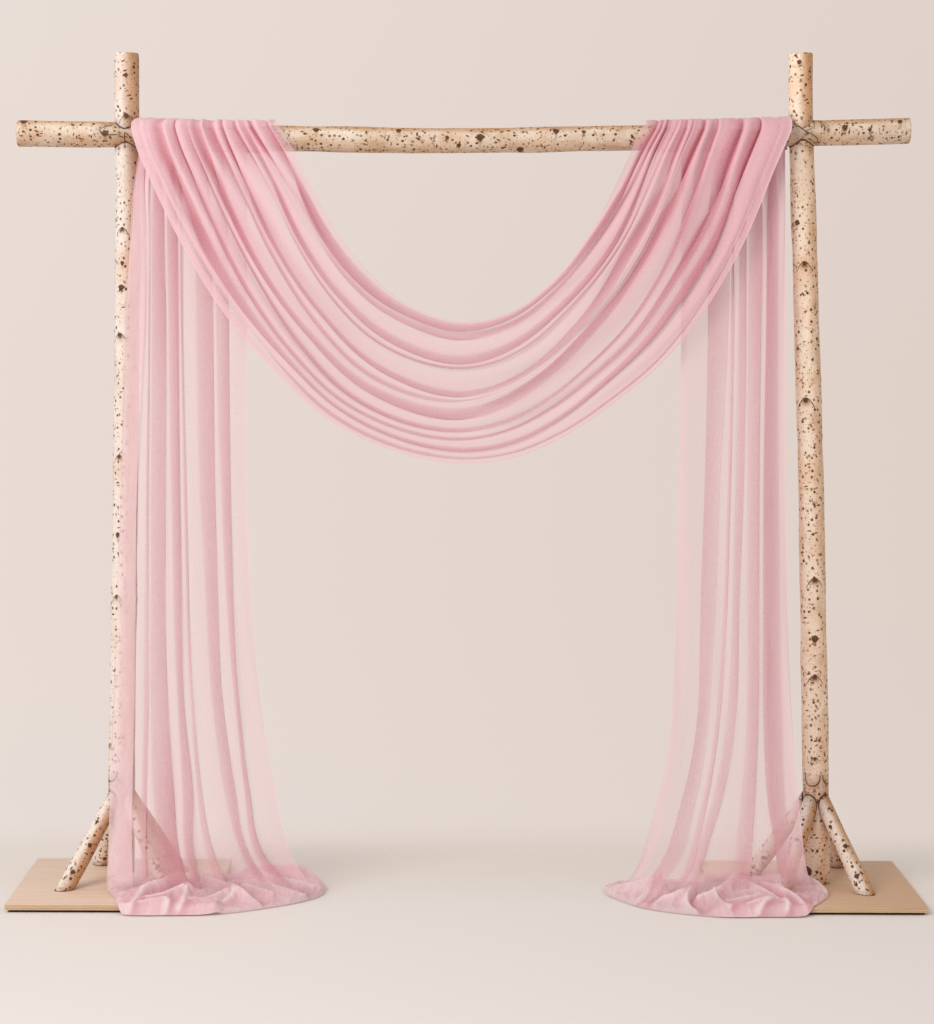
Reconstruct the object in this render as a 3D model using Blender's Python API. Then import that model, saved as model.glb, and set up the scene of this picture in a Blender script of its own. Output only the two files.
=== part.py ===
"""Free-standing arch of birch logs: two posts on plywood bases with log braces, a crossbeam
lapped into them, and one long panel of sheer cloth wrapped over the beam, swagged between the
posts and pooled at their feet.

Metres, +Z up. The front faces -Y. The origin is on the floor, midway between the two bases.
"""

import math

import bmesh
import bpy
from mathutils import Vector

# Clearance kept between pieces that touch
GAP = 0.0003

# Bases: a plywood square on a slightly smaller rubber pad
BASE_SIDE = 0.55
BASE_CENTRE_X = 0.9375
PLY_THICKNESS = 0.015
PAD_THICKNESS = 0.007
PAD_INSET = 0.008
BOARD_TOP = PAD_THICKNESS + PLY_THICKNESS
SEAT = BOARD_TOP + GAP

# Posts: points on each axis from the foot up, then the radius there. Both lean in a little,
# and both step forward where the beam crosses, so that the upper stub laps over it.
POST_Y = 0.010
STUB_Y = -0.010
LEFT_POST = (
    ((-0.9420, POST_Y, 0.000), 0.0352),
    ((-0.9364, POST_Y, 0.520), 0.0350),
    ((-0.9267, POST_Y, 0.980), 0.0340),
    ((-0.9200, POST_Y, 1.400), 0.0335),
    ((-0.9130, POST_Y, 1.900), 0.0330),
    ((-0.9120, STUB_Y, 2.050), 0.0325),
    ((-0.9120, STUB_Y, 2.253), 0.0320),
)
RIGHT_POST = (
    ((0.9602, POST_Y, 0.000), 0.0360),
    ((0.9446, POST_Y, 0.530), 0.0358),
    ((0.9290, POST_Y, 1.000), 0.0345),
    ((0.9130, POST_Y, 1.400), 0.0340),
    ((0.8905, POST_Y, 1.880), 0.0332),
    ((0.8800, STUB_Y, 2.050), 0.0325),
    ((0.8755, STUB_Y, 2.263), 0.0320),
)

# Crossbeam: it bows down a little in the middle and rises to the right
BEAM_Y = -0.012
CROSSBEAM = (
    ((-1.202, BEAM_Y, 2.0390), 0.0345),
    ((-0.980, BEAM_Y, 2.0385), 0.0340),
    ((-0.430, BEAM_Y, 2.0300), 0.0340),
    ((0.050, BEAM_Y, 2.0285), 0.0330),
    ((0.430, BEAM_Y, 2.0380), 0.0335),
    ((0.850, BEAM_Y, 2.0500), 0.0340),
    ((1.168, BEAM_Y, 2.0610), 0.0338),
)
# In each half lap the beam keeps what is in front of this plane and the post what is behind
LAP_Y = 0.0

# Braces: four short logs round each post. Each foot's centre is measured from the post's axis.
BRACE_FOOT_RADIUS = 0.0235
BRACE_TOP_RADIUS = 0.0210
BRACE_APEX_HEIGHT = 0.277
BRACE_APEX_OFFSET = 0.006
BRACE_FEET = {
    "left": {
        "front_outer": (-0.139, -0.115),
        "front_inner": (0.137, -0.115),
        "back_outer": (-0.082, 0.195),
        "back_inner": (0.147, 0.112),
    },
    "right": {
        "front_outer": (0.1125, -0.132),
        "front_inner": (-0.115, -0.132),
        "back_outer": (0.090, 0.200),
        "back_inner": (-0.170, 0.100),
    },
}

# Cloth wrapped round the beam beside each post
WRAP_THICKNESS = 0.0123
WRAP_SPANS = {"left": (-0.8765, -0.462), "right": (0.430, 0.8425)}

# Swag: its upper and lower edges seen from the front, as (x, z)
SWAG_UPPER = (
    (-0.480, 2.050), (-0.462, 1.997), (-0.396, 1.861), (-0.293, 1.707), (-0.164, 1.595),
    (-0.026, 1.551), (0.104, 1.575), (0.217, 1.657), (0.319, 1.795), (0.394, 1.934),
    (0.425, 2.002), (0.440, 2.056),
)
SWAG_LOWER = (
    (-0.876, 2.032), (-0.874, 1.990), (-0.807, 1.840), (-0.634, 1.550), (-0.506, 1.406),
    (-0.379, 1.293), (-0.249, 1.225), (-0.119, 1.186), (-0.006, 1.174), (0.124, 1.192),
    (0.254, 1.249), (0.382, 1.337), (0.511, 1.446), (0.620, 1.583), (0.723, 1.762),
    (0.812, 1.935), (0.838, 2.000), (0.838, 2.042),
)
SWAG_Y = -0.0695
SWAG_LOWER_BULGE = 0.055
SWAG_UPPER_BULGE = 0.012
SWAG_HALF_THICKNESS = 0.0145
SWAG_FOLDS = 7
SWAG_FOLD_DEPTH = 0.006

# Tails: left and right edges at each height, from the wrap down to the pool
TAILS = {
    "left": (
        (2.000, -0.876, -0.591), (1.904, -0.890, -0.591), (1.786, -0.897, -0.591),
        (1.522, -0.908, -0.590), (0.992, -0.924, -0.584), (0.594, -0.939, -0.559),
        (0.300, -0.950, -0.510), (0.193, -0.952, -0.486), (0.020, -0.955, -0.447),
    ),
    "right": (
        (2.012, 0.558, 0.8425), (1.904, 0.559, 0.8445), (1.786, 0.560, 0.8455),
        (1.495, 0.561, 0.846), (1.047, 0.557, 0.852), (0.698, 0.552, 0.858),
        (0.351, 0.522, 0.875), (0.193, 0.488, 0.893), (0.020, 0.436, 0.898),
    ),
}
TAIL_TOP_Y = -0.038
TAIL_TOP_Z = 1.98
TAIL_SLOPE = 0.060
TAIL_PLEATS = 7
TAIL_HALF_THICKNESS = (0.008, 0.010)
TAIL_PLEAT_DEPTH = (0.003, 0.016)

# Pools: the outline of each heap of cloth on the floor, as (x, y)
POOLS = {
    "left": (
        (-0.970, -0.130), (-0.945, -0.235), (-0.895, -0.283), (-0.810, -0.300),
        (-0.700, -0.290), (-0.590, -0.245), (-0.480, -0.190), (-0.405, -0.110),
        (-0.386, -0.010), (-0.430, 0.060), (-0.560, 0.075), (-0.720, 0.010),
        (-0.860, -0.045), (-0.940, -0.070),
    ),
    "right": (
        (0.985, -0.105), (0.955, -0.205), (0.890, -0.262), (0.800, -0.292),
        (0.700, -0.300), (0.590, -0.255), (0.480, -0.190), (0.400, -0.100),
        (0.377, -0.005), (0.420, 0.060), (0.550, 0.075), (0.700, 0.010),
        (0.830, -0.040), (0.930, -0.060),
    ),
}
# Share of the outline kept at each height of a pool
POOL_LEVELS = ((0.0, 1.0), (0.018, 1.0), (0.044, 0.88), (0.060, 0.70), (0.066, 0.40))

# Colours
BIRCH = (0.80, 0.66, 0.48)
PLYWOOD = (0.72, 0.55, 0.40)
RUBBER = (0.02, 0.02, 0.02)
CHIFFON = (0.86, 0.55, 0.58)


def clear_scene():
    for item in list(bpy.data.objects):
        bpy.data.objects.remove(item, do_unlink=True)


def new_collection(name, hidden=False):
    made = bpy.data.collections.new(name)
    bpy.context.scene.collection.children.link(made)
    made.hide_render = hidden
    return made


def new_material(name, colour, roughness):
    made = bpy.data.materials.new(name)
    made.use_nodes = True
    shader = made.node_tree.nodes["Principled BSDF"]
    shader.inputs["Base Color"].default_value = (*colour, 1.0)
    shader.inputs["Roughness"].default_value = roughness
    return made


clear_scene()
ARCH = new_collection("draped_birch_arch")
CUTTERS = new_collection("cutters", hidden=True)
BARK = new_material("birch_bark", BIRCH, 0.75)
PLY = new_material("plywood", PLYWOOD, 0.60)
PAD = new_material("rubber", RUBBER, 0.85)
CLOTH = new_material("chiffon", CHIFFON, 0.80)


def keep(name, mesh, material):
    """A visible piece of the arch."""
    piece = bpy.data.objects.new(name, mesh)
    piece.data.materials.append(material)
    ARCH.objects.link(piece)
    return piece


def keep_cutter(name, mesh):
    cutter = bpy.data.objects.new(name, mesh)
    cutter.hide_render = True
    cutter.display_type = "WIRE"
    CUTTERS.objects.link(cutter)
    return cutter


def cut(piece, cutter):
    boolean = piece.modifiers.new("cut_by_" + cutter.name, "BOOLEAN")
    boolean.operation = "DIFFERENCE"
    boolean.object = cutter


def smooth(knots, share):
    """The point at this share of the way along a smooth curve through the knots."""
    knots = [Vector(knot) for knot in knots]
    lengths = [(b - a).length for a, b in zip(knots, knots[1:])]
    left = share * sum(lengths)
    index = 0
    while index < len(lengths) - 1 and left > lengths[index]:
        left -= lengths[index]
        index += 1
    start, end = knots[index], knots[index + 1]
    before = knots[index - 1] if index else start * 2 - end
    after = knots[index + 2] if index + 2 < len(knots) else end * 2 - start
    t = min(left / lengths[index], 1.0)
    return 0.5 * (
        start * 2
        + (end - before) * t
        + (before * 2 - start * 5 + end * 4 - after) * t**2
        + (start * 3 - before - end * 3 + after) * t**3
    )


def tube_mesh(name, places, radii):
    """A closed round tube through the places, with its own radius at each."""
    curve = bpy.data.curves.new(name, "CURVE")
    curve.dimensions = "3D"
    curve.bevel_depth = 1.0
    curve.bevel_resolution = 9
    curve.use_fill_caps = True
    spline = curve.splines.new("POLY")
    spline.points.add(len(places) - 1)
    for point, place, radius in zip(spline.points, places, radii):
        point.co = (*place, 1.0)
        point.radius = radius
    holder = bpy.data.objects.new(name, curve)
    bpy.context.scene.collection.objects.link(holder)
    graph = bpy.context.evaluated_depsgraph_get()
    mesh = bpy.data.meshes.new_from_object(holder.evaluated_get(graph))
    bpy.data.objects.remove(holder, do_unlink=True)
    welded = bmesh.new()
    welded.from_mesh(mesh)
    bmesh.ops.remove_doubles(welded, verts=welded.verts, dist=0.00001)
    bmesh.ops.recalc_face_normals(welded, faces=welded.faces)
    welded.to_mesh(mesh)
    welded.free()
    mesh.shade_smooth()
    mesh.set_sharp_from_angle(angle=math.radians(40))
    return mesh


def log_mesh(name, course, extra=0.0, steps=14):
    """A log along its course of (place, radius) knots, thicker by extra."""
    knots = [(*place, radius) for place, radius in course]
    points = [smooth(knots, step / steps) for step in range(steps + 1)]
    return tube_mesh(name, [p[:3] for p in points], [p[3] + extra for p in points])


def box_mesh(name, low, high):
    box = bmesh.new()
    bmesh.ops.create_cube(box, size=1.0)
    for vert in box.verts:
        for axis in range(3):
            vert.co[axis] = low[axis] if vert.co[axis] < 0 else high[axis]
    mesh = bpy.data.meshes.new(name)
    box.to_mesh(mesh)
    box.free()
    return mesh


def loft_mesh(name, sections):
    """A closed skin through sections of equal point counts, capped at both ends."""
    skin = bmesh.new()
    rings = [[skin.verts.new(point) for point in section] for section in sections]
    for ring, following in zip(rings, rings[1:]):
        for index in range(len(ring)):
            after = (index + 1) % len(ring)
            skin.faces.new((ring[index], ring[after], following[after], following[index]))
    skin.faces.new(rings[0])
    skin.faces.new(rings[-1])
    bmesh.ops.recalc_face_normals(skin, faces=skin.faces)
    mesh = bpy.data.meshes.new(name)
    skin.to_mesh(mesh)
    skin.free()
    mesh.shade_smooth()
    mesh.set_sharp_from_angle(angle=math.radians(50))
    return mesh


def on_course(course, axis, value):
    """Centre and radius of a log where the given coordinate has this value."""
    knots = [(*place, radius) for place, radius in course]
    low, high = 0.0, 1.0
    for _ in range(40):
        middle = (low + high) / 2
        if smooth(knots, middle)[axis] < value:
            low = middle
        else:
            high = middle
    return smooth(knots, (low + high) / 2)


def build_base(side, sign):
    """Plywood board on its rubber pad."""
    half = BASE_SIDE / 2
    centre = sign * BASE_CENTRE_X
    board = box_mesh(
        side + "_base_board",
        (centre - half, -half, PAD_THICKNESS),
        (centre + half, half, BOARD_TOP),
    )
    keep(side + "_base_board", board, PLY)
    inner = half - PAD_INSET
    pad = box_mesh(
        side + "_base_pad",
        (centre - inner, -inner, 0.0),
        (centre + inner, inner, PAD_THICKNESS - GAP),
    )
    keep(side + "_base_pad", pad, PAD)
    return keep_cutter(
        side + "_base_space",
        box_mesh(
            side + "_base_space",
            (centre - half - GAP, -half - GAP, -0.10),
            (centre + half + GAP, half + GAP, SEAT),
        ),
    )


def half_space(name, behind):
    """A block that covers one side of the lap plane, less half the clearance."""
    if behind:
        return keep_cutter(name, box_mesh(name, (-2, LAP_Y + GAP / 2, 1.8), (2, 0.2, 2.3)))
    return keep_cutter(name, box_mesh(name, (-2, -0.2, 1.8), (2, LAP_Y - GAP / 2, 2.3)))


def build_post(side, course, base_space, beam_space, behind_lap):
    """Log post, sawn flat at the foot and notched for the beam. Returns its clearance space
    and the part of that space that the beam gives way to."""
    post = keep(side + "_post", log_mesh(side + "_post", course), BARK)
    cut(post, base_space)
    cut(post, beam_space)
    space = keep_cutter(side + "_post_space", log_mesh(side + "_post_space", course, GAP))
    lap = keep_cutter(side + "_post_lap", log_mesh(side + "_post_lap", course, GAP))
    cut(lap, behind_lap)
    return space, lap


def build_braces(side, course, base_space, post_space):
    """Four log braces, scribed to the post and sawn flat on the board."""
    spaces = []
    for place, (across, back) in BRACE_FEET[side].items():
        name = f"{side}_brace_{place}"
        foot_axis = on_course(course, 2, BOARD_TOP)
        apex_axis = on_course(course, 2, BRACE_APEX_HEIGHT)
        outward = Vector((across, back, 0)).normalized()
        foot = Vector((foot_axis[0] + across, foot_axis[1] + back, BOARD_TOP))
        apex = Vector((apex_axis[0], apex_axis[1], BRACE_APEX_HEIGHT))
        apex = apex + outward * BRACE_APEX_OFFSET
        start = foot + (foot - apex).normalized() * 0.045
        radii = (BRACE_FOOT_RADIUS, BRACE_FOOT_RADIUS, BRACE_TOP_RADIUS)
        brace = keep(name, tube_mesh(name, (start, foot, apex), radii), BARK)
        cut(brace, base_space)
        cut(brace, post_space)
        wider = [radius + GAP for radius in radii]
        spaces.append(
            keep_cutter(name + "_space", tube_mesh(name + "_space", (start, foot, apex), wider))
        )
    return spaces


def build_wrap(side, beam_space):
    """The cloth wound round the beam, as a sleeve. Returns the space that it fills."""
    start, end = WRAP_SPANS[side]
    name = side + "_wrap"
    points = [on_course(CROSSBEAM, 0, start + (end - start) * step / 4) for step in range(5)]
    places = [point[:3] for point in points]
    wrap = keep(name, tube_mesh(name, places, [p[3] + WRAP_THICKNESS for p in points]), CLOTH)
    cut(wrap, beam_space)
    wider = [p[3] + WRAP_THICKNESS + GAP for p in points]
    return keep_cutter(name + "_space", tube_mesh(name + "_space", places, wider))


def swag_section(share, points=44):
    """One closed section of the swag, from its upper edge to its lower edge and back."""
    upper, lower = smooth(SWAG_UPPER, share), smooth(SWAG_LOWER, share)
    hang = math.sin(math.pi * share)
    upper_y = SWAG_Y - SWAG_UPPER_BULGE * hang
    lower_y = SWAG_Y - SWAG_LOWER_BULGE * hang**0.6
    section = []
    for index in range(points):
        angle = 2 * math.pi * index / points
        down = 0.5 - 0.5 * math.cos(angle)
        middle = upper_y + (lower_y - upper_y) * down
        swell = math.copysign(abs(math.sin(angle)) ** 0.35, math.sin(angle))
        depth = SWAG_HALF_THICKNESS * swell
        if depth > 0:
            depth += SWAG_FOLD_DEPTH * hang**0.5 * swell * math.cos(2 * math.pi * SWAG_FOLDS * down)
        across = upper + (lower - upper) * down
        section.append((across[0], middle - depth, across[1]))
    return section


def build_swag(wrap_spaces):
    """The hanging swag between the two wraps."""
    sections = [swag_section(step / 24) for step in range(25)]
    swag = keep("swag", loft_mesh("swag", sections), CLOTH)
    for space in wrap_spaces:
        cut(swag, space)


def tail_section(edges, share, per_pleat=5):
    """One closed level section of a tail: a pleated band, front face then back face."""
    height, left, right = smooth(edges, share)
    fall = (TAIL_TOP_Z - height) / TAIL_TOP_Z
    middle = TAIL_TOP_Y - TAIL_SLOPE * (TAIL_TOP_Z - height)
    ends = zip(TAIL_HALF_THICKNESS, TAIL_PLEAT_DEPTH)
    (top_half, top_depth), (foot_half, foot_depth) = ends
    half = top_half + (foot_half - top_half) * max(fall, 0.0)
    depth = top_depth + (foot_depth - top_depth) * max(fall, 0.0) ** 0.7
    count = TAIL_PLEATS * per_pleat
    front, back = [], []
    for index in range(count + 1):
        across = index / count
        wave = depth * math.cos(2 * math.pi * TAIL_PLEATS * across)
        x = left + (right - left) * across
        front.append((x, middle - wave - half, height))
        back.append((x, middle - wave + half, height))
    return front + back[::-1]


def build_tail(side, spaces):
    """The cloth that hangs from a wrap down to its pool, over the front braces."""
    name = side + "_tail"
    sections = [tail_section(TAILS[side], step / 10) for step in range(11)]
    tail = keep(name, loft_mesh(name, sections), CLOTH)
    for space in spaces:
        cut(tail, space)


def pool_mesh(name, side, raised=0.0, spread=1.0):
    """A heap of cloth: its outline, drawn in as it rises."""
    outline = POOLS[side]
    centre = sum((Vector(point) for point in outline), Vector((0, 0))) / len(outline)
    loop = (*outline, outline[0])
    rings = []
    for height, share in POOL_LEVELS:
        ring = []
        for index in range(len(outline) * 3):
            point = smooth(loop, index / (len(outline) * 3))
            point = centre + (point - centre) * share * spread
            ring.append((point[0], point[1], height + raised))
        rings.append(ring)
    return loft_mesh(name, rings)


def build_pool(side, base_space, log_spaces):
    """The cloth heaped at a post's foot. Returns the space that it fills."""
    name = side + "_pool"
    pool = keep(name, pool_mesh(name, side), CLOTH)
    for space in (base_space, *log_spaces):
        cut(pool, space)
    return keep_cutter(name + "_space", pool_mesh(name + "_space", side, GAP, 1.001))


def build_arch():
    beam = keep("crossbeam", log_mesh("crossbeam", CROSSBEAM), BARK)
    beam_space = keep_cutter("crossbeam_space", log_mesh("crossbeam_space", CROSSBEAM, GAP))
    beam_lap = keep_cutter("crossbeam_lap", log_mesh("crossbeam_lap", CROSSBEAM, GAP))
    front_block = half_space("front_of_lap", behind=False)
    back_block = half_space("back_of_lap", behind=True)
    cut(beam_lap, back_block)
    wrap_spaces = []
    for side, sign, course in (("left", -1, LEFT_POST), ("right", 1, RIGHT_POST)):
        base_space = build_base(side, sign)
        post_space, post_lap = build_post(side, course, base_space, beam_lap, front_block)
        cut(beam, post_lap)
        brace_spaces = build_braces(side, course, base_space, post_space)
        wrap_space = build_wrap(side, beam_space)
        wrap_spaces.append(wrap_space)
        pool_space = build_pool(side, base_space, (post_space, *brace_spaces))
        build_tail(side, (wrap_space, pool_space, *brace_spaces))
    build_swag(wrap_spaces)


build_arch()
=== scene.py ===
"""Draped birch arch: two birch posts on plywood bases, a crossbeam and one long panel of pink chiffon."""

import math

import bpy
import numpy as np
from mathutils import Matrix, Vector


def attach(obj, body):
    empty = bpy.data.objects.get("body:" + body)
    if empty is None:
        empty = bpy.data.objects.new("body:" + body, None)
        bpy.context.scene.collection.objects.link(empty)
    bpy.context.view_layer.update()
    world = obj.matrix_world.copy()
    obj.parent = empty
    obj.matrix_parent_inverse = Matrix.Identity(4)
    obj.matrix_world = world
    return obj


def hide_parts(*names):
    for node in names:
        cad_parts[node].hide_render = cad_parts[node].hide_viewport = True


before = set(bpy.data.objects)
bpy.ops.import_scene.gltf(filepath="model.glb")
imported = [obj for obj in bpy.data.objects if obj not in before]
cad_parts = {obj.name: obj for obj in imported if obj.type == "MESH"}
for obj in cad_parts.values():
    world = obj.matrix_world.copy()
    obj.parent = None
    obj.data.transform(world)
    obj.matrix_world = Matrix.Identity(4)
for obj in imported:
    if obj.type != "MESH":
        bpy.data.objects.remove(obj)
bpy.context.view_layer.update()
bpy.ops.object.select_all(action="DESELECT")

# Camera. A pinhole camera fitted to the corners of the two boards; the photograph is 934 x 1024
# and the lens looks through its middle.
CAMERA_PLACE = Vector((-0.0665, -6.853, 1.6332))
YAW, PITCH, ROLL = math.radians(0.524), math.radians(4.98), math.radians(0.305)
FOCAL_PIXELS, PHOTO_HEIGHT, SENSOR_MM = 2551.0, 1024.0, 36.0

forward = Vector((math.sin(YAW) * math.cos(PITCH), math.cos(YAW) * math.cos(PITCH), -math.sin(PITCH)))
level_right = Vector((math.cos(YAW), -math.sin(YAW), 0.0))
level_up = level_right.cross(forward)
camera_right = level_right * math.cos(ROLL) + level_up * math.sin(ROLL)
camera_up = level_up * math.cos(ROLL) - level_right * math.sin(ROLL)
camera_data = bpy.data.cameras.new("camera")
camera_data.sensor_fit = "VERTICAL"
camera_data.sensor_height = camera_data.sensor_width = SENSOR_MM
camera_data.lens = FOCAL_PIXELS / PHOTO_HEIGHT * SENSOR_MM
camera = bpy.data.objects.new("camera", camera_data)
camera.matrix_world = Matrix.Translation(CAMERA_PLACE) @ Matrix(
    (camera_right, camera_up, -forward)).transposed().to_4x4()
scene = bpy.context.scene
scene.collection.objects.link(camera)
scene.camera = camera
scene.view_settings.view_transform = "Standard"
scene.cycles.transparent_max_bounces = 32


# Studio. A pale wall as the world's colour, warm, with painted shade that darkens it down to the floor
# line and painted light that makes it brighter on the left than on the right; one big soft box high on
# the left and in front, and even light from all round.
class Value:
    """A socket in a shader, whose sums, differences and products are math nodes."""

    def __init__(self, socket):
        self.socket = socket

    def __add__(self, other):
        return calc("ADD", self, other)

    def __sub__(self, other):
        return calc("SUBTRACT", self, other)

    def __rsub__(self, other):
        return calc("SUBTRACT", other, self)

    def __mul__(self, other):
        return calc("MULTIPLY", self, other)


def linear(red, green, blue):
    """A display colour, 0 to 255, as the linear colour that shaders use."""
    share = [c / 255.0 for c in (red, green, blue)]
    return tuple(c / 12.92 if c <= 0.04045 else ((c + 0.055) / 1.055) ** 2.4 for c in share) + (1.0,)


def feed(made, feeds):
    """Feeds a node's sockets with numbers, colours or values from other nodes."""
    for key, value in feeds.items():
        if isinstance(value, Value):
            made.id_data.links.new(value.socket, made.inputs[key])
        else:
            made.inputs[key].default_value = value


def node(tree, kind, feeds=None, **settings):
    """Adds a node with these settings and feeds it."""
    made = tree.nodes.new("ShaderNode" + kind)
    for key, value in settings.items():
        setattr(made, key, value)
    feed(made, feeds or {})
    return made


def result(terms, kind, feeds, output=0, **settings):
    """One output of a new node in the tree that the terms are in."""
    tree = next(term for term in terms if isinstance(term, Value)).socket.id_data
    return Value(node(tree, kind, feeds, **settings).outputs[output])


def calc(operation, *terms):
    """The result of a math node on values or numbers."""
    return result(terms, "Math", dict(enumerate(terms)), operation=operation)


def band(value, low, high, at_low=0.0, at_high=1.0):
    """A smooth rise of a value from one level to another."""
    return result([value], "MapRange", {0: value, 1: low, 2: high, 3: at_low, 4: at_high},
                  interpolation_type="SMOOTHSTEP")


def tint(share, first, second, blend="MIX"):
    """Two colours mixed by a share; one that is three numbers is a display colour."""
    first, second = (linear(*c) if isinstance(c, tuple) and len(c) == 3 else c for c in (first, second))
    return result((share, first, second), "Mix", {0: share, 6: first, 7: second}, 2, data_type="RGBA",
                  blend_type=blend)


def parts_of(vector):
    """A vector's x, y and z."""
    separate = node(vector.socket.id_data, "SeparateXYZ", {0: vector})
    return [Value(part) for part in separate.outputs]


# The wall by height, with painted shade in a band at the floor line; then painted light and shade, from
# brighter on the left to darker on the right.
WALL_STOPS = ((-0.34, (229, 218, 211)), (-0.25, (224, 211, 202)), (-0.221, (221, 206, 197)),
              (-0.205, (227, 215, 208)), (-0.12, (228, 214, 206)), (-0.03, (228, 214, 206)),
              (0.12, (229, 216, 209)))
WALL_LIT_LEFT, WALL_SHADED_RIGHT, WALL_HALF = (1.05, 1.065, 1.075, 1.0), (0.95, 0.94, 0.93, 1.0), 0.2
ROOM_LIGHT, ROOM_STRENGTH = (1.0, 0.985, 0.965, 1.0), 0.62
BOX_PLACE, BOX_AIM, BOX_SIZE, BOX_POWER = Vector((-3.4, -4.4, 4.9)), Vector((0.0, 0.0, 1.0)), 3.2, 215.0
BOX_COLOUR = (1.0, 0.985, 0.96)

world = bpy.data.worlds.new("studio")
world.use_nodes = True
scene.world = world
tree = world.node_tree
tree.nodes.clear()
aside, _, height = parts_of(Value(node(tree, "TexCoord").outputs["Generated"]))
low, high = WALL_STOPS[0][0], WALL_STOPS[-1][0]
wall = node(tree, "ValToRGB", {0: result([height], "MapRange", {0: height, 1: low, 2: high})})
stops = wall.color_ramp.elements
stops.remove(stops[1])
for number, (at, colour) in enumerate(WALL_STOPS):
    stop = stops.new((at - low) / (high - low)) if number else stops[0]
    stop.position = (at - low) / (high - low)
    stop.color = linear(*colour)
from_left = result([aside], "MapRange", {0: aside, 1: -WALL_HALF, 2: WALL_HALF})
shaded = tint(1.0, Value(wall.outputs[0]), tint(from_left, WALL_LIT_LEFT, WALL_SHADED_RIGHT), "MULTIPLY")
shown = node(tree, "Background", {0: shaded, 1: 1.0})
lit = node(tree, "Background", {0: ROOM_LIGHT, 1: ROOM_STRENGTH})
seen = node(tree, "LightPath").outputs["Is Camera Ray"]
either = node(tree, "MixShader", {0: Value(seen), 1: Value(lit.outputs[0]), 2: Value(shown.outputs[0])})
node(tree, "OutputWorld", {"Surface": Value(either.outputs[0])})

softbox_data = bpy.data.lights.new("softbox", "AREA")
softbox_data.shape = "SQUARE"
softbox_data.size = BOX_SIZE
softbox_data.energy = BOX_POWER
softbox_data.color = BOX_COLOUR
softbox = bpy.data.objects.new("softbox", softbox_data)
softbox.location = BOX_PLACE
softbox.rotation_euler = (BOX_AIM - BOX_PLACE).to_track_quat("-Z", "Y").to_euler()
scene.collection.objects.link(softbox)

# Floor. Pale and matt, it fades into the wall's colour a little behind the arch and far out at
# the sides and in front.
FLOOR_COLOUR, FLOOR_FAR_COLOUR = (240, 232, 227), (238, 228, 220)
FLOOR_BACK, FLOOR_FADE, FLOOR_REACH, FLOOR_BEHIND = 0.50, 0.22, 6.0, 0.4
FADE_FROM, FADE_TO, TONE_FROM, TONE_TO = 2.2, 5.0, -0.20, 0.25
bpy.ops.mesh.primitive_grid_add(x_subdivisions=4, y_subdivisions=4, size=2 * FLOOR_REACH,
                                location=(0.0, FLOOR_BACK - FLOOR_REACH + FLOOR_BEHIND, 0.0))
floor = bpy.context.object
floor.name = "studio_floor"
bpy.ops.object.transform_apply(location=True, rotation=False, scale=False)
floor_look = bpy.data.materials.new("studio floor")
floor_look.use_nodes = True
tree = floor_look.node_tree
tree.nodes.clear()
place = Value(node(tree, "TexCoord").outputs["Object"])
_, back, _ = parts_of(place)
reach = result([place], "VectorMath", {0: place}, "Value", operation="LENGTH")
faded = calc("MAXIMUM", band(back, FLOOR_BACK - FLOOR_FADE, FLOOR_BACK + FLOOR_FADE),
             band(reach, FADE_FROM, FADE_TO))
matt = node(tree, "BsdfDiffuse", {0: tint(band(back, TONE_FROM, TONE_TO), FLOOR_COLOUR, FLOOR_FAR_COLOUR)})
clear = node(tree, "BsdfTransparent")
surface = node(tree, "MixShader", {0: faded, 1: Value(matt.outputs[0]), 2: Value(clear.outputs[0])})
node(tree, "OutputMaterial", {"Surface": Value(surface.outputs[0])})
floor.data.materials.append(floor_look)


# Base pads. A square of black rubber under each board, 7 mm thick and a little smaller, so that
# only its dark edge shows.
def slab(name, centre_x, side, low, high, round_edge):
    """A square plate with rounded edges, from one height to another."""
    bpy.ops.mesh.primitive_cube_add(size=1.0, location=(centre_x, 0.0, (low + high) / 2),
                                    scale=(side, side, high - low))
    piece = bpy.context.object
    piece.name = name
    bpy.ops.object.transform_apply(location=True, rotation=False, scale=True)
    bpy.ops.object.mode_set(mode="EDIT")
    bpy.ops.mesh.select_all(action="SELECT")
    bpy.ops.mesh.bevel(offset=round_edge, segments=3, affect="EDGES")
    bpy.ops.object.mode_set(mode="OBJECT")
    bpy.ops.object.shade_smooth_by_angle(angle=math.radians(40))
    return piece


def stretched(vector, stretch):
    """A coordinate scaled along each axis."""
    return result([vector], "VectorMath", {0: vector, 1: stretch}, operation="MULTIPLY")


def cloudy(vector, stretch, detail=2.0, roughness=0.5):
    """A soft noise from 0 to 1 over a coordinate scaled along each axis."""
    return result([vector], "TexNoise", {"Vector": stretched(vector, stretch), "Scale": 1.0, "Detail": detail,
                                         "Roughness": roughness})


def new_look(name):
    """A new material, and its node tree."""
    look = bpy.data.materials.new(name)
    look.use_nodes = True
    return look, look.node_tree


def finish_look(look, feeds, height, strength, distance):
    """Feeds a material's shader, with relief from a height."""
    bump = result([height], "Bump", {"Height": height, "Strength": strength, "Distance": distance})
    feed(look.node_tree.nodes["Principled BSDF"], {**feeds, "Normal": bump})


def dress(piece, look, slot, *nodes):
    """A piece's material, the CAD nodes that it stands for and its body; its slot is not used."""
    piece.data.materials.append(look)
    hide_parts(*nodes)
    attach(piece, "root")


BASE_X, BASE_SIDE, PAD_INSET, PAD_THICK, PAD_EDGE = 0.9375, 0.55, 0.008, 0.007, 0.0015
rubber, tree = new_look("black rubber")
grain = cloudy(Value(node(tree, "TexCoord").outputs["Object"]), (420.0, 420.0, 420.0), 3.0)
finish_look(rubber, {"Base Color": tint(grain, (22, 20, 19), (48, 44, 41)),
                     "Roughness": band(grain, 0.2, 0.8, 0.75, 0.9)}, grain, 0.5, 0.0006)
for side, sign in (("left", -1), ("right", 1)):
    pad = slab(f"{side}_rubber_pad", sign * BASE_X, BASE_SIDE - 2 * PAD_INSET, 0.0, PAD_THICK, PAD_EDGE)
    dress(pad, rubber, "rubber", f"{side}_base_pad")

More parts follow.
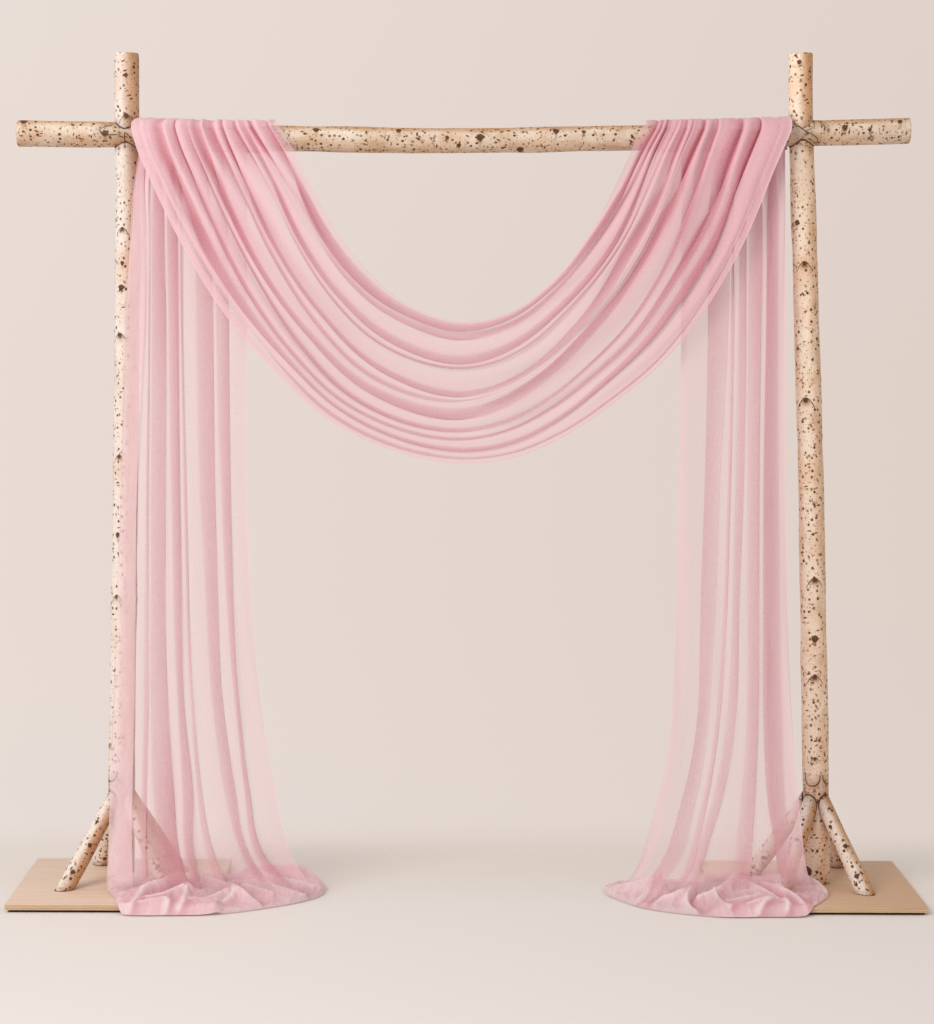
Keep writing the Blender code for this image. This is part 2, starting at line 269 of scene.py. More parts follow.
# Base boards. 15 mm plywood, sanded and left bare, with its plies showing along the edges and a
# pale grain running from side to side.
BOARD_TOP, BOARD_EDGE, TWO_PLIES = 0.022, 0.0016, 0.0044
plywood, tree = new_look("bare plywood")
place = Value(node(tree, "TexCoord").outputs["Object"])
x, y, z = parts_of(place)
rings = calc("SINE", (y * 60.0 + cloudy(place, (1.6, 5.0, 3.0)) * 16.0) * 2.2)
fibre = cloudy(place, (14.0, 420.0, 300.0), 3.0)
patch = cloudy(place, (3.0, 7.0, 7.0))
knots = result([place], "TexVoronoi", {"Vector": stretched(place, (5.0, 9.0, 1.0)), "Scale": 1.0}, "Distance")
top_colour = tint(band(rings, -0.6, 1.0, 0.0, 0.30), (234, 206, 185), (219, 182, 157))
top_colour = tint(band(fibre, 0.35, 0.75, 0.0, 0.35), top_colour, (220, 189, 164))
top_colour = tint(band(patch, 0.3, 0.8, 0.0, 0.4), top_colour, (238, 208, 187))
# The right board is darker and browner, more so towards its outer side.
top_colour = tint(band(x, 0.4, 1.2, 0.0, 0.74), top_colour, (198, 152, 108))
top_colour = tint(band(knots, 0.02, 0.05, 0.45, 0.0), top_colour, (160, 118, 84))
ply = calc("SINE", z * (2 * math.pi / TWO_PLIES))
edge_colour = tint(band(ply, -0.5, 0.6), (196, 158, 120), (226, 196, 160))
edge_colour = tint(band(fibre, 0.4, 0.7, 0.0, 0.3), edge_colour, (168, 130, 96))
_, _, facing_up = parts_of(Value(node(tree, "NewGeometry").outputs["Normal"]))
flat = band(calc("ABSOLUTE", facing_up), 0.4, 0.7)
finish_look(plywood, {"Base Color": tint(flat, edge_colour, top_colour),
                      "Roughness": band(fibre, 0.2, 0.8, 0.5, 0.68)}, fibre, 0.35, 0.0005)
for side, sign in (("left", -1), ("right", 1)):
    board = slab(f"{side}_plywood_board", sign * BASE_X, BASE_SIDE, PAD_THICK, BOARD_TOP, BOARD_EDGE)
    dress(board, plywood, "plywood", f"{side}_base_board")

# Posts and crossbeam. Peeled-edge birch logs in their own bark, painted cream where the light
# strikes and tan round the other side, part bark colour and part painted shade, half lapped and
# screwed together where they cross.
SEAT = 0.0223
POSTS = {
    "left": ((-0.9420, 0.010, 0.00, 0.0352), (-0.9364, 0.010, 0.52, 0.0350),
             (-0.9267, 0.010, 0.98, 0.0340), (-0.9200, 0.010, 1.40, 0.0335),
             (-0.9130, 0.010, 1.90, 0.0330), (-0.9120, -0.010, 2.05, 0.0325),
             (-0.9120, -0.010, 2.253, 0.0320)),
    "right": ((0.9602, 0.010, 0.00, 0.0360), (0.9446, 0.010, 0.53, 0.0358), (0.9290, 0.010, 1.00, 0.0345),
              (0.9130, 0.010, 1.40, 0.0340), (0.8905, 0.010, 1.88, 0.0332), (0.8800, -0.010, 2.05, 0.0325),
              (0.8755, -0.010, 2.263, 0.0320)),
}
BEAM = ((-1.202, -0.012, 2.0390, 0.0345), (-0.980, -0.012, 2.0385, 0.0340),
        (-0.430, -0.012, 2.0300, 0.0340), (0.050, -0.012, 2.0285, 0.0330), (0.430, -0.012, 2.0380, 0.0335),
        (0.850, -0.012, 2.0500, 0.0340), (1.168, -0.012, 2.0610, 0.0338))
LAP_Y, LAP_HEIGHT, LAP_BACK = 0.0, 2.045, 0.012
# Branch scars: place along the log, turn round it in degrees from the front, half width in
# metres, and 1 for a chevron over a knot or 0 for a bare knot.
POST_SCARS = {
    "left": ((2.193, 4, 0.012, 0), (2.091, 5, 0.024, 1), (1.794, -20, 0.020, 1), (1.699, -18, 0.012, 0),
             (1.635, -22, 0.015, 0), (1.513, -26, 0.022, 1), (1.187, -25, 0.020, 1),
             (0.971, -26, 0.015, 0), (0.809, -26, 0.020, 1), (1.62, 150, 0.022, 1), (1.05, 190, 0.024, 1),
             (0.55, 160, 0.022, 1), (0.40, -70, 0.020, 1), (1.40, 95, 0.020, 1), (2.15, 170, 0.016, 0),
             (0.80, 100, 0.020, 1)),
    "right": ((2.240, -16, 0.013, 0), (2.180, 17, 0.008, 0), (1.818, -40, 0.014, 0),
              (1.714, -10, 0.026, 1), (1.507, 43, 0.010, 0), (1.486, -57, 0.014, 1),
              (1.350, -21, 0.026, 1), (0.864, 1, 0.026, 1), (0.698, -3, 0.016, 0), (0.600, -6, 0.026, 1),
              (0.375, -9, 0.016, 1), (0.257, 2, 0.018, 1), (0.056, -49, 0.024, 0), (1.60, 170, 0.024, 1),
              (1.10, 140, 0.022, 1), (0.75, 195, 0.024, 1), (0.45, 110, 0.020, 1), (1.95, 200, 0.018, 0),
              (1.25, 85, 0.020, 1)),
}
BEAM_SCARS = ((-1.182, 61, 0.020, 0), (-0.966, -1, 0.016, 0), (-0.409, 41, 0.016, 0),
              (-0.190, 46, 0.017, 0), (-0.062, 11, 0.014, 0), (-0.031, -25, 0.010, 0),
              (0.025, 13, 0.022, 0), (0.131, -49, 0.018, 0), (0.226, 37, 0.017, 0), (0.300, 29, 0.012, 0),
              (0.991, 17, 0.016, 0), (1.057, 5, 0.010, 0), (1.138, 41, 0.016, 0), (-1.05, 150, 0.018, 0),
              (-0.25, 170, 0.020, 0), (0.18, 140, 0.018, 0), (0.33, 200, 0.016, 0), (1.08, 165, 0.018, 0))
# Cut marks and curled bark round the two laps, as lines in the arch's own plane, x and z.
LAP_MARKS = (((-0.9374, 2.0684), (-0.9288, 2.0577), (-0.9156, 2.0518), (-0.8997, 2.0592),
              (-0.8880, 2.0731)),
             ((-0.9483, 2.0615), (-0.9683, 2.0562), (-0.9816, 2.0493), (-0.9737, 2.0404),
              (-0.9579, 2.0353), (-0.9289, 2.0368), (-0.9228, 2.0407)),
             ((-0.9144, 2.0395), (-0.9151, 2.0094)),
             ((-0.9078, 2.0395), (-0.8960, 2.0252), (-0.8829, 2.0069)),
             ((0.8422, 2.1009), (0.8504, 2.0852), (0.8638, 2.0748), (0.8853, 2.0565), (0.9011, 2.0619),
              (0.9116, 2.0698), (0.9100, 2.0829), (0.9192, 2.0869), (0.9300, 2.0778), (0.9408, 2.0647)),
             ((0.8893, 2.0539), (0.8777, 2.0381), (0.8673, 2.0223), (0.8436, 2.0143)),
             ((0.8893, 2.0539), (0.9040, 2.0488), (0.9201, 2.0371), (0.9204, 2.0200)),
             ((0.8726, 2.0223), (0.8886, 2.0198), (0.9046, 2.0133)))
LOG_SIDES, RIM, END_INSET, COURSE_STEPS, POST_STEPS, BEAM_STEPS = 20, 0.002, 0.004, 300, 132, 138
RIGHT, UP, DOWN = (1.0, 0.0, 0.0), (0.0, 0.0, 1.0), (0.0, 0.0, -1.0)
FRONT, BACK = (0.0, -1.0, 0.0), (0.0, 1.0, 0.0)
SUBDIVIDED_SHRINK = (2 + math.cos(2 * math.pi / LOG_SIDES)) / 3
# Waves round and along each log: times round it, waves along it, how far each log's is shifted, height.
LUMPS = ((1, 9.0, 1.3, 0.0005), (2, 14.0, 2.1, 0.0005), (3, -21.0, 0.7, 0.0003), (2, 37.0, 3.3, 0.00025),
         (0, 26.0, 1.9, 0.0004), (4, 60.0, 0.4, 0.00015))
SCAR_SWELL, SCAR_DENT, SCAR_SIZE, FAR_OFF = 0.0016, 0.0009, 0.02, 9.0
# How far the dark line at a joint stays from its middle: behind the lap, at the feet, on the beam.
LAP_GAP, FOOT_GAP, BEAM_GAP, BEAM_LAP_GAP, HIDDEN_GAP = 0.0011, 0.0004, 0.0003, 0.0009, 0.003
# How much tan and painted shade each post has under the beam: least, how much less than whole at
# most, and on its far side.
POST_TAN_AND_SHADE = {"left": (0.0, 0.22, 0.0), "right": (0.12, 0.55, 0.36)}
# The beam's bark is browner under it, as painted shade, and along its top; the braces' bark is browner on
# their right sides, as painted shade.
BEAM_TAN_AND_SHADE, BRACE_TAN_AND_SHADE, END_FACING = (0.38, 0.26, 0.45), (0.0, 0.9, 0.0), 0.93


def smooth(knots, shares, at=None):
    """Points of a smooth curve through the knots, at shares of its length or of its stations."""
    knots, shares = np.asarray(knots, float), np.asarray(shares, float)
    if at is None:
        at = np.concatenate([[0.0], np.cumsum(np.linalg.norm(np.diff(knots, axis=0), axis=1))])
        at /= at[-1]
    at = np.asarray(at, float)
    slope = np.gradient(knots, at, axis=0)
    i = np.clip(np.searchsorted(at, shares, side="right") - 1, 0, len(at) - 2)
    gap = (at[i + 1] - at[i])[:, None]
    u = ((shares - at[i]) / (at[i + 1] - at[i]))[:, None]
    return ((2 * u**3 - 3 * u**2 + 1) * knots[i] + (u**3 - 2 * u**2 + u) * gap * slope[i]
            + (3 * u**2 - 2 * u**3) * knots[i + 1] + (u**3 - u**2) * gap * slope[i + 1])


def active_only(piece):
    """Makes this piece the only one that operators work on."""
    bpy.ops.object.select_all(action="DESELECT")
    piece.select_set(True)
    bpy.context.view_layer.objects.active = piece


def log(name, course, steps):
    """A log grown ring by ring along its course of (x, y, z, radius), closed at both ends and smoothed."""
    rows = smooth(course, np.linspace(0, 1, steps + 1))
    centres, radii = rows[:, :3], rows[:, 3] / SUBDIVIDED_SHRINK
    along = Vector(centres[-1] - centres[0]).normalized()
    bpy.ops.mesh.primitive_circle_add(vertices=LOG_SIDES, radius=radii[0] - RIM, fill_type="NGON",
                                      location=centres[0], rotation=along.to_track_quat("Z", "Y").to_euler())
    piece = bpy.context.object
    piece.name = name
    bpy.ops.object.transform_apply(location=True, rotation=True, scale=True)
    bpy.ops.object.mode_set(mode="EDIT")
    bpy.ops.mesh.select_all(action="SELECT")
    stations = [(centres[0] + np.array(along) * RIM, radii[0])]
    stations += [(centres[i], radii[i]) for i in range(1, steps)]
    stations += [(centres[-1] - np.array(along) * RIM, radii[-1]), (centres[-1], radii[-1] - RIM)]
    here, size = centres[0], radii[0] - RIM
    for centre, radius in stations:
        bpy.ops.mesh.extrude_region_move(TRANSFORM_OT_translate={"value": tuple(centre - here)})
        bpy.ops.transform.resize(value=(radius / size,) * 3, center_override=tuple(centre))
        here, size = centre, radius
    bpy.ops.mesh.inset(thickness=END_INSET)
    bpy.ops.mesh.select_all(action="SELECT")
    bpy.ops.mesh.normals_make_consistent(inside=False)
    bpy.ops.object.mode_set(mode="OBJECT")
    apply_modifier(piece, "SUBSURF", levels=2, render_levels=2)
    return piece


def apply_modifier(piece, kind, **settings):
    """Adds a modifier with these settings and applies it."""
    active_only(piece)
    modifier = piece.modifiers.new(kind.lower(), kind)
    for key, value in settings.items():
        setattr(modifier, key, value)
    bpy.ops.object.modifier_apply(modifier=modifier.name)
    piece.select_set(False)


def copy_of(piece, name):
    """A copy with its own mesh."""
    other = bpy.data.objects.new(name, piece.data.copy())
    bpy.context.scene.collection.objects.link(other)
    return other


def cut_flat(piece, place, keep_side):
    """Cuts a closed piece by a plane, keeps the side that the direction points to, and closes it."""
    active_only(piece)
    bpy.ops.object.mode_set(mode="EDIT")
    bpy.ops.mesh.select_all(action="SELECT")
    bpy.ops.mesh.bisect(plane_co=place, plane_no=keep_side, use_fill=True, clear_inner=True)
    bpy.ops.object.mode_set(mode="OBJECT")
    piece.select_set(False)


def cut_by(piece, cutter):
    """Takes the cutter's space out of the piece, and the cutter away."""
    apply_modifier(piece, "BOOLEAN", operation="DIFFERENCE", solver="EXACT", object=cutter)
    bpy.data.objects.remove(cutter)


def store(piece, name, values):
    """Stores a value or a vector for each vertex."""
    kind = "FLOAT" if np.ndim(values) == 1 else "FLOAT_VECTOR"
    layer = piece.data.attributes.new(name, kind, "POINT")
    layer.data.foreach_set("value" if kind == "FLOAT" else "vector", np.ravel(values).astype(np.float32))


def points_of(piece):
    """The piece's vertices as an array."""
    values = np.empty(len(piece.data.vertices) * 3)
    piece.data.vertices.foreach_get("co", values)
    return values.reshape(-1, 3)


def unit(vector):
    """The vector at length 1."""
    return vector / np.linalg.norm(vector)


def course_at(course, axis, places):
    """A log's x, y, z and radius where its course reaches some places on one axis."""
    rows = smooth(course, np.linspace(0, 1, COURSE_STEPS))
    return np.array([np.interp(places, rows[:, axis], rows[:, k]) for k in range(4)])


def round_log(points, course, first, second):
    """For each point: length along the log, its offset from the axis on two directions, and the radius."""
    rows = smooth(course, np.linspace(0, 1, COURSE_STEPS))
    along = unit(rows[-1, :3] - rows[0, :3])
    place = (points - rows[0, :3]) @ along
    stations = (rows[:, :3] - rows[0, :3]) @ along
    centre = np.stack([np.interp(place, stations, rows[:, k]) for k in range(3)], 1)
    offset = points - centre
    return (place, offset @ np.array(first, float), offset @ np.array(second, float),
            np.interp(place, stations, rows[:, 3]))


def skin_distance(points, course, first, second):
    """How far each point is from a log's surface."""
    _, a, b, radius = round_log(points, course, first, second)
    return np.abs(np.hypot(a, b) - radius)


def rise(value, low, high):
    """A smooth rise from 0 to 1 between two levels."""
    share = np.clip((value - low) / (high - low), 0, 1)
    return share * share * (3 - 2 * share)


def fall(value, low, high):
    """A smooth fall from 1 to 0 between two levels."""
    return 1 - rise(value, low, high)


def near_marks(points):
    """How far each point is from the nearest cut mark at the laps."""
    best = np.full(len(points), 1.0)
    flat = points[:, [0, 2]]
    for line in LAP_MARKS:
        for a, b in zip(np.array(line)[:-1], np.array(line)[1:]):
            share = np.clip(((flat - a) @ (b - a)) / ((b - a) @ (b - a)), 0, 1)
            best = np.minimum(best, np.linalg.norm(flat - a - share[:, None] * (b - a), axis=1))
    return best


def bump_of(across, up, wide, high):
    """A soft round swelling at a scar."""
    return np.exp(-((across / wide) ** 2 + ((up + 0.3) / high) ** 2))


def age_log(piece, course, first, second, start, scars, tan_and_shade_way, tan_and_shade, neighbours, seed):
    """Makes a smooth log uneven and stores what its bark needs: place, scars, and its browner side with
    painted shade.

    The browner side, part bark colour and part painted shade, is given as least, most and on the far
    side. Returns each point before the change, and how far it is from its neighbours' surfaces."""
    points = points_of(piece)
    place, a, b, radius = round_log(points, course, first, second)
    turn, reach = np.arctan2(a, b), np.maximum(np.hypot(a, b), 1e-6)
    skin = rise(reach / radius, 0.55, 0.95)
    lumps = sum(np.sin(turn * k + place * f + seed * p) * size for k, f, p, size in LUMPS)
    scar, kind, nearest = np.zeros((len(points), 3)), np.zeros(len(points)), np.full(len(points), FAR_OFF)
    for at, degrees, size, chevron in scars:
        side = (turn - math.radians(degrees) + math.pi) % (2 * math.pi) - math.pi
        across, up = side * radius / size, (place + start - at) / size
        if tan_and_shade_way == DOWN:
            across, up = up, across
        apart = np.hypot(across, up + 0.4)
        closer = apart < nearest
        nearest = np.where(closer, apart, nearest)
        scar[closer, 0], scar[closer, 1] = across[closer], up[closer]
        kind[closer] = chevron
        swelling = SCAR_SWELL * bump_of(across, up, 0.5, 0.5) - SCAR_DENT * bump_of(across, up, 0.22, 0.2)
        lumps += swelling * size / SCAR_SIZE * skin
    scar[:, 2] = fall(nearest, 1.5, 2.0)
    factor = (lumps * skin / reach)[:, None]
    moved = points + factor * (a[:, None] * np.array(first) + b[:, None] * np.array(second))
    piece.data.vertices.foreach_set("co", moved.ravel())
    lean = (a * np.dot(first, tan_and_shade_way) + b * np.dot(second, tan_and_shade_way)) / radius
    least, most, far = tan_and_shade
    store(piece, "bark", np.stack([a, b, place], 1))
    store(piece, "scar", scar)
    store(piece, "scar_kind", kind)
    # The bark's tan with painted light and shade: cream on the side the light strikes, tan and darker round
    # the side turned from it.
    store(piece, "tan_and_shade_side", least + most * rise(lean, -0.85, 0.85) + far * rise(-lean, 0.45, 1.0))
    piece.data.update()
    apart = [skin_distance(points, *neighbour) for neighbour in neighbours]
    return points, np.minimum.reduce([np.full(len(points), 1.0)] + apart)


def largest(*values):
    """The largest of several values in a shader."""
    most = values[0]
    for value in values[1:]:
        most = calc("MAXIMUM", most, value)
    return most


def stored(tree, name, output="Fac"):
    """A stored value or vector of the surface."""
    return Value(node(tree, "Attribute", attribute_name=name).outputs[output])


def length(x, y):
    """The length of a flat vector in a shader."""
    return calc("SQRT", calc("POWER", x, 2.0) + calc("POWER", y, 2.0))


bark_group = bpy.data.node_groups.new("birch bark", "ShaderNodeTree")
tree = bark_group
tree.interface.new_socket(name="Dots", in_out="INPUT", socket_type="NodeSocketFloat")
for name, kind in (("Color", "Color"), ("Roughness", "Float"), ("Height", "Float")):
    tree.interface.new_socket(name=name, in_out="OUTPUT", socket_type="NodeSocket" + kind)
more_dots = Value(tree.nodes.new("NodeGroupInput").outputs["Dots"])
place = stored(tree, "bark", "Vector")
scar_x, scar_y, near_scar = parts_of(stored(tree, "scar", "Vector"))
kind, seam, tan_and_shade_side = (stored(tree, name) for name in ("scar_kind", "seam", "tan_and_shade_side"))
blotch = cloudy(place, (30.0, 30.0, 12.0), 3.0, 0.6)
broad = cloudy(place, (11.0, 11.0, 5.0))
fine = cloudy(place, (260.0, 260.0, 150.0))
lines = cloudy(place, (34.0, 34.0, 430.0), 1.0)
# Cream to tan round the log by the stored side, broken up by blotches: the bark's own tan with painted light
# and shade.
colour = tint(band((blotch - 0.5) * 0.8 + tan_and_shade_side, 0.12, 0.95), (246, 234, 222), (200, 150, 107))
colour = tint(band(broad, 0.46, 0.72, 0.0, 0.55), colour, (230, 190, 160))
colour = tint(band(fine, 0.35, 0.8, 0.0, 0.22), colour, (188, 148, 112))
lenticel = band(lines, 0.60, 0.70) * band(blotch, 0.35, 0.6, 0.05, 0.35)
colour = tint(lenticel, colour, (160, 112, 76))
# Dots and dashes, each in a brown stain: cells round and along the log, share left bare, size and turn.
darks, stains = [], []
for around, along, bare, size, spread, angle in (
        (78.0, 68.0, 0.40, 0.18, 0.12, 0.0), (80.0, 36.0, 0.66, 0.11, 0.11, 0.5),
        (40.0, 104.0, 0.64, 0.11, 0.12, 0.2), (170.0, 150.0, 0.70, 0.13, 0.16, 0.0)):
    turned = result([place], "Mapping", {"Vector": place, "Rotation": (0.0, angle, angle)})
    cells = node(tree, "TexVoronoi", {"Vector": stretched(turned, (around, around, along)), "Scale": 1.0})
    pick = node(tree, "SeparateColor", {0: Value(cells.outputs["Color"])})
    which, how_large, how_dark = (Value(part) for part in pick.outputs)
    chosen = band(which + more_dots, bare, bare + 0.02)
    spot = how_large * spread + size - (Value(cells.outputs["Distance"]) + (fine - 0.5) * 0.10)
    stains.append(band(spot, -0.16, 0.0) * chosen)
    darks.append(band(spot, -0.03, 0.03) * chosen * band(how_dark, 0.0, 0.7, 0.55, 1.0))
dark = largest(*darks)
colour = tint(largest(*stains) * 0.45, colour, (176, 126, 82))
colour = tint(dark * 0.96, colour, (80, 38, 15))
ragged, aside, below = (fine - 0.5) * 0.25, calc("ABSOLUTE", scar_x), largest(scar_y * -1.0, 0.0)
# A chevron: two thin arms that fall away from a point, dark under the point and olive below it.
arm = scar_y + calc("POWER", aside, 1.7) * 1.2
arm_line = band(calc("ABSOLUTE", arm) + ragged, 0.04, 0.12, 1.0, 0.0) * band(aside, 0.85, 1.0, 1.0, 0.0)
arm_line = arm_line * kind * near_scar
inside = band(arm, -0.08, 0.06, 1.0, 0.0) * kind * near_scar
heart = band(scar_y + ragged, -0.72, -0.30) * band(aside + ragged, 0.13, 0.36, 1.0, 0.0) * inside
olive = band(scar_y, -1.15, -0.35) * band(aside, 0.30, 0.62, 1.0, 0.0) * inside
# A bare knot: a dark rough patch, narrower below, with a paler tail under it.
bare_knot = (1.0 - kind) * near_scar
from_knot = length(aside * (below * 1.2 + 1.0), calc("ABSOLUTE", scar_y))
knot = band(from_knot + (blotch - 0.5) * 0.9 + ragged * 2.0, 0.44, 0.60, 1.0, 0.0) * bare_knot
tail = band(aside + (scar_y + 0.5) * -0.30 + ragged, 0.25, 0.42, 1.0, 0.0) * band(scar_y, -1.5, -1.1)
tail = tail * band(scar_y, -0.2, 0.1, 1.0, 0.0) * bare_knot
colour = tint(largest(olive, tail * 0.7) * 0.62, colour, (158, 118, 72))
colour = tint(largest(largest(knot, heart) * 0.94, arm_line * 0.9), colour, (84, 44, 22))
# Painted shade: darker brown within 22 mm of each joint and lap mark, as on the posts under the beam, where
# shade falls between the parts.
colour = tint(band(seam, 0.0, 0.022, 0.36, 0.0), colour, (128, 82, 48))
joint_line = band(seam + ragged * 0.002, 0.0008, 0.0021, 1.0, 0.0)
colour = tint(joint_line * 0.90, colour, (86, 48, 24))
relief = fine * 0.30 + blotch * 0.8 - largest(dark, lenticel) * 0.35 - (arm_line * 0.7 + joint_line * 0.8)
feed(tree.nodes.new("NodeGroupOutput"), {
    "Color": colour, "Roughness": band(blotch, 0.2, 0.8, 0.42, 0.66), "Height": relief})


def bark_material(name, dots, cast_and_painted_light):
    """Birch bark with its own share of dark dots and a colour multiplier of its own, which on the right post
    also paints light on it.
    """
    look, tree = new_look(name)
    colour, roughness, height = (Value(given) for given in node(
        tree, "Group", {"Dots": dots}, node_tree=bark_group).outputs)
    cast_and_lit = result([colour], "Mix", {0: 1.0, 6: colour, 7: (*cast_and_painted_light, 1.0)}, 2, data_type="RGBA",
                    blend_type="MULTIPLY", clamp_result=True)
    finish_look(look, {"Base Color": cast_and_lit, "Roughness": roughness, "Specular IOR Level": 0.22}, height,
                0.6, 0.0016)
    return look


sawn, tree = new_look("sawn birch end")
place = stored(tree, "bark", "Vector")
x, y, _ = parts_of(place)
from_heart = length(x, y)
year = calc("SINE", from_heart * 2600.0 + cloudy(place, (40.0, 40.0, 0.0), 3.0) * 14.0)
wood = tint(band(year, -0.4, 1.0), (232, 204, 166), (198, 156, 112))
wood = tint(band(from_heart, 0.004, 0.030, 0.4, 0.0), wood, (178, 132, 92))
wood = tint(band(from_heart, 0.0285, 0.0305), wood, (104, 66, 42))
finish_look(sawn, {"Base Color": wood, "Roughness": 0.72}, year, 0.4, 0.0006)

# The right post's bark is multiplied lighter and warmer than the left's: painted light, as less of the soft
# box's light reaches it.
post_barks = {"left": bark_material("birch bark of the left post", 0.0, (1.0, 1.0, 1.03)),
              "right": bark_material("birch bark of the right post", 0.08, (1.15, 1.08, 0.98))}
beam_bark = bark_material("birch bark of the beam", 0.15, (1.01, 1.02, 0.99))


def dress_log(piece, seam, bark, axis, node_name):
    """Bark round the log and sawn wood on its ends, then the CAD node that it stands for."""
    store(piece, "seam", seam)
    piece.data.materials.clear()
    dress(piece, bark, "birch_bark", node_name)
    piece.data.materials.append(sawn)
    for face in piece.data.polygons:
        face.material_index = 1 if abs(face.normal @ Vector(axis)) > END_FACING else 0
        face.use_smooth = True


posts = {side: log(f"{side}_birch_post", course, POST_STEPS) for side, course in POSTS.items()}
for post in posts.values():
    cut_flat(post, (0, 0, SEAT), UP)
beam = log("birch_crossbeam", BEAM, BEAM_STEPS)
post_copies = {side: copy_of(posts[side], f"{side}_post_space") for side in posts}
whole_posts = {side: copy_of(posts[side], f"{side}_whole_post") for side in posts}
for post in posts.values():
    beam_space = copy_of(beam, "beam_space")
    cut_flat(beam_space, (0, LAP_Y, 0), FRONT)
    cut_by(post, beam_space)
for post_copy in post_copies.values():
    cut_flat(post_copy, (0, LAP_Y, 0), BACK)
    cut_by(beam, post_copy)

# Braces. Four short birch logs round each post, cut flat at the foot, scribed to the post at the
# top and screwed to it; each leans in from its own corner of the board.
BRACE_FOOT, BRACE_TOP, BRACE_APEX, BRACE_OUT = 0.0235, 0.0210, 0.277, 0.006
BRACE_BURIED, BRACE_FLARE, BRACE_STEPS, BRACE_REACH = 0.03, 0.0003, 14, 0.33
BRACES = {
    "left": {"front_outer": (-0.139, -0.115), "front_inner": (0.137, -0.115), "back_outer": (-0.082, 0.195),
             "back_inner": (0.147, 0.112)},
    "right": {"front_outer": (0.1125, -0.132), "front_inner": (-0.115, -0.132), "back_outer": (0.090, 0.200),
              "back_inner": (-0.170, 0.100)},
}
# Scars on each: place along the log from its buried end, turn from the front, half width and kind.
BRACE_SCARS = {
    "front_outer": ((0.064, -35, 0.007, 0), (0.085, -8, 0.013, 0), (0.170, 10, 0.014, 0),
                    (0.235, -30, 0.010, 0), (0.285, 20, 0.011, 1), (0.200, 160, 0.012, 1)),
    "front_inner": ((0.100, 15, 0.012, 0), (0.190, -25, 0.013, 1), (0.260, 170, 0.012, 0)),
    "back_outer": ((0.090, 20, 0.011, 0), (0.180, -150, 0.013, 1), (0.240, 60, 0.012, 0)),
    "back_inner": ((0.110, -10, 0.011, 0), (0.200, 140, 0.013, 1)),
}
brace_bark = bark_material("birch bark of the braces", 0.05, (1.0, 1.0, 1.0))

for side, feet in BRACES.items():
    foot_middle, apex_middle = course_at(POSTS[side], 2, [BOARD_TOP, BRACE_APEX])[:3].T
    brace_logs = []
    for number, (where, (x, y)) in enumerate(feet.items()):
        foot = foot_middle + (x, y, 0.0)
        apex = apex_middle + np.array((x, y, 0.0)) / math.hypot(x, y) * BRACE_OUT
        below = foot + (foot - apex) / (apex[2] - foot[2]) * BRACE_BURIED
        course = np.array([(*below, BRACE_FOOT + BRACE_FLARE),
                           (*(foot * 0.5 + apex * 0.5), (BRACE_FOOT + BRACE_TOP) / 2), (*apex, BRACE_TOP)])
        brace = log(f"{side}_birch_brace_{where}", course, BRACE_STEPS)
        cut_flat(brace, (0, 0, SEAT), UP)
        cut_by(brace, copy_of(whole_posts[side], "post_space"))
        along = unit(course[-1, :3] - course[0, :3])
        level = unit(np.cross(along, UP))
        level = -level if level[0] < 0 else level
        outward = np.cross(level, along)
        brace_logs.append((course, level, outward))
        facing = math.degrees(math.atan2(np.dot(level, FRONT), np.dot(outward, FRONT)))
        scars = [(place, facing + turn, size, kind) for place, turn, size, kind in BRACE_SCARS[where]]
        points, seam = age_log(brace, course, level, outward, 0.0, scars, RIGHT, BRACE_TAN_AND_SHADE,
                               [(POSTS[side], RIGHT, FRONT)], 3.0 + number)
        seam = np.minimum(seam, np.abs(points[:, 2] - SEAT) + FOOT_GAP)
        dress_log(brace, seam, brace_bark, along, f"{side}_brace_{where}")

    # The post above the braces: its bark, its marks at the lap and the dark line round each joint.
    post = posts[side]
    below_beam = fall(points_of(post)[:, 2], 1.95, 2.10)
    least, less, far = POST_TAN_AND_SHADE[side]
    points, seam = age_log(post, POSTS[side], RIGHT, FRONT, 0.0, POST_SCARS[side], RIGHT,
                           (least * below_beam, 1 - less * below_beam, far * below_beam), brace_logs,
                           2.0 if side == "right" else 0.0)
    front, height = points[:, 1] < LAP_BACK, points[:, 2]
    near_beam = skin_distance(points, BEAM, UP, FRONT) + LAP_GAP * (height > LAP_HEIGHT)
    seam = np.minimum.reduce([
        np.where(height > BRACE_REACH, 1.0, seam), np.abs(height - SEAT) + FOOT_GAP,
        np.where(front, near_beam, np.maximum(near_beam, HIDDEN_GAP)),
        np.where(front, near_marks(points), 1.0)])
    dress_log(post, seam, post_barks[side], UP, f"{side}_post")
    bpy.data.objects.remove(whole_posts[side])

points, seam = age_log(beam, BEAM, UP, FRONT, BEAM[0][0], BEAM_SCARS, DOWN, BEAM_TAN_AND_SHADE, (), 5.0)
for course in POSTS.values():
    gap = BEAM_GAP + BEAM_LAP_GAP * (points[:, 2] > LAP_HEIGHT)
    seam = np.minimum(seam, skin_distance(points, course, RIGHT, FRONT) + gap)
seam = np.minimum(seam, np.where(points[:, 1] < -0.01, near_marks(points), 1.0))
dress_log(beam, seam, beam_bark, RIGHT, "crossbeam")

# Swag. One panel of sheer chiffon, gathered on the beam at both ends and hanging between them in
# flat folds, each three layers deep; both ends are wound over the beam, down its back and under it.
# Its two edges, from the left gather to the right one: x and z in millimetres.
SWAG_UPPER = ((-503, 2056), (-466, 1997), (-430, 1930), (-370, 1818), (-293, 1707), (-164, 1595),
              (-26, 1551), (104, 1575), (217, 1657), (319, 1790), (393, 1934), (422, 1999), (454, 2060))
SWAG_LOWER = ((-893, 2048), (-877, 1996), (-842, 1917), (-806, 1840), (-634, 1550), (-506, 1406),
              (-379, 1293), (-249, 1225), (-119, 1186), (-6, 1174), (124, 1192), (254, 1249), (382, 1337),
              (511, 1446), (620, 1583), (723, 1765), (764, 1860), (799, 1950), (826, 2012), (844, 2052))
SWAG_Y, BULGE_LOW, BULGE_HIGH = -0.0700, 0.055, 0.012
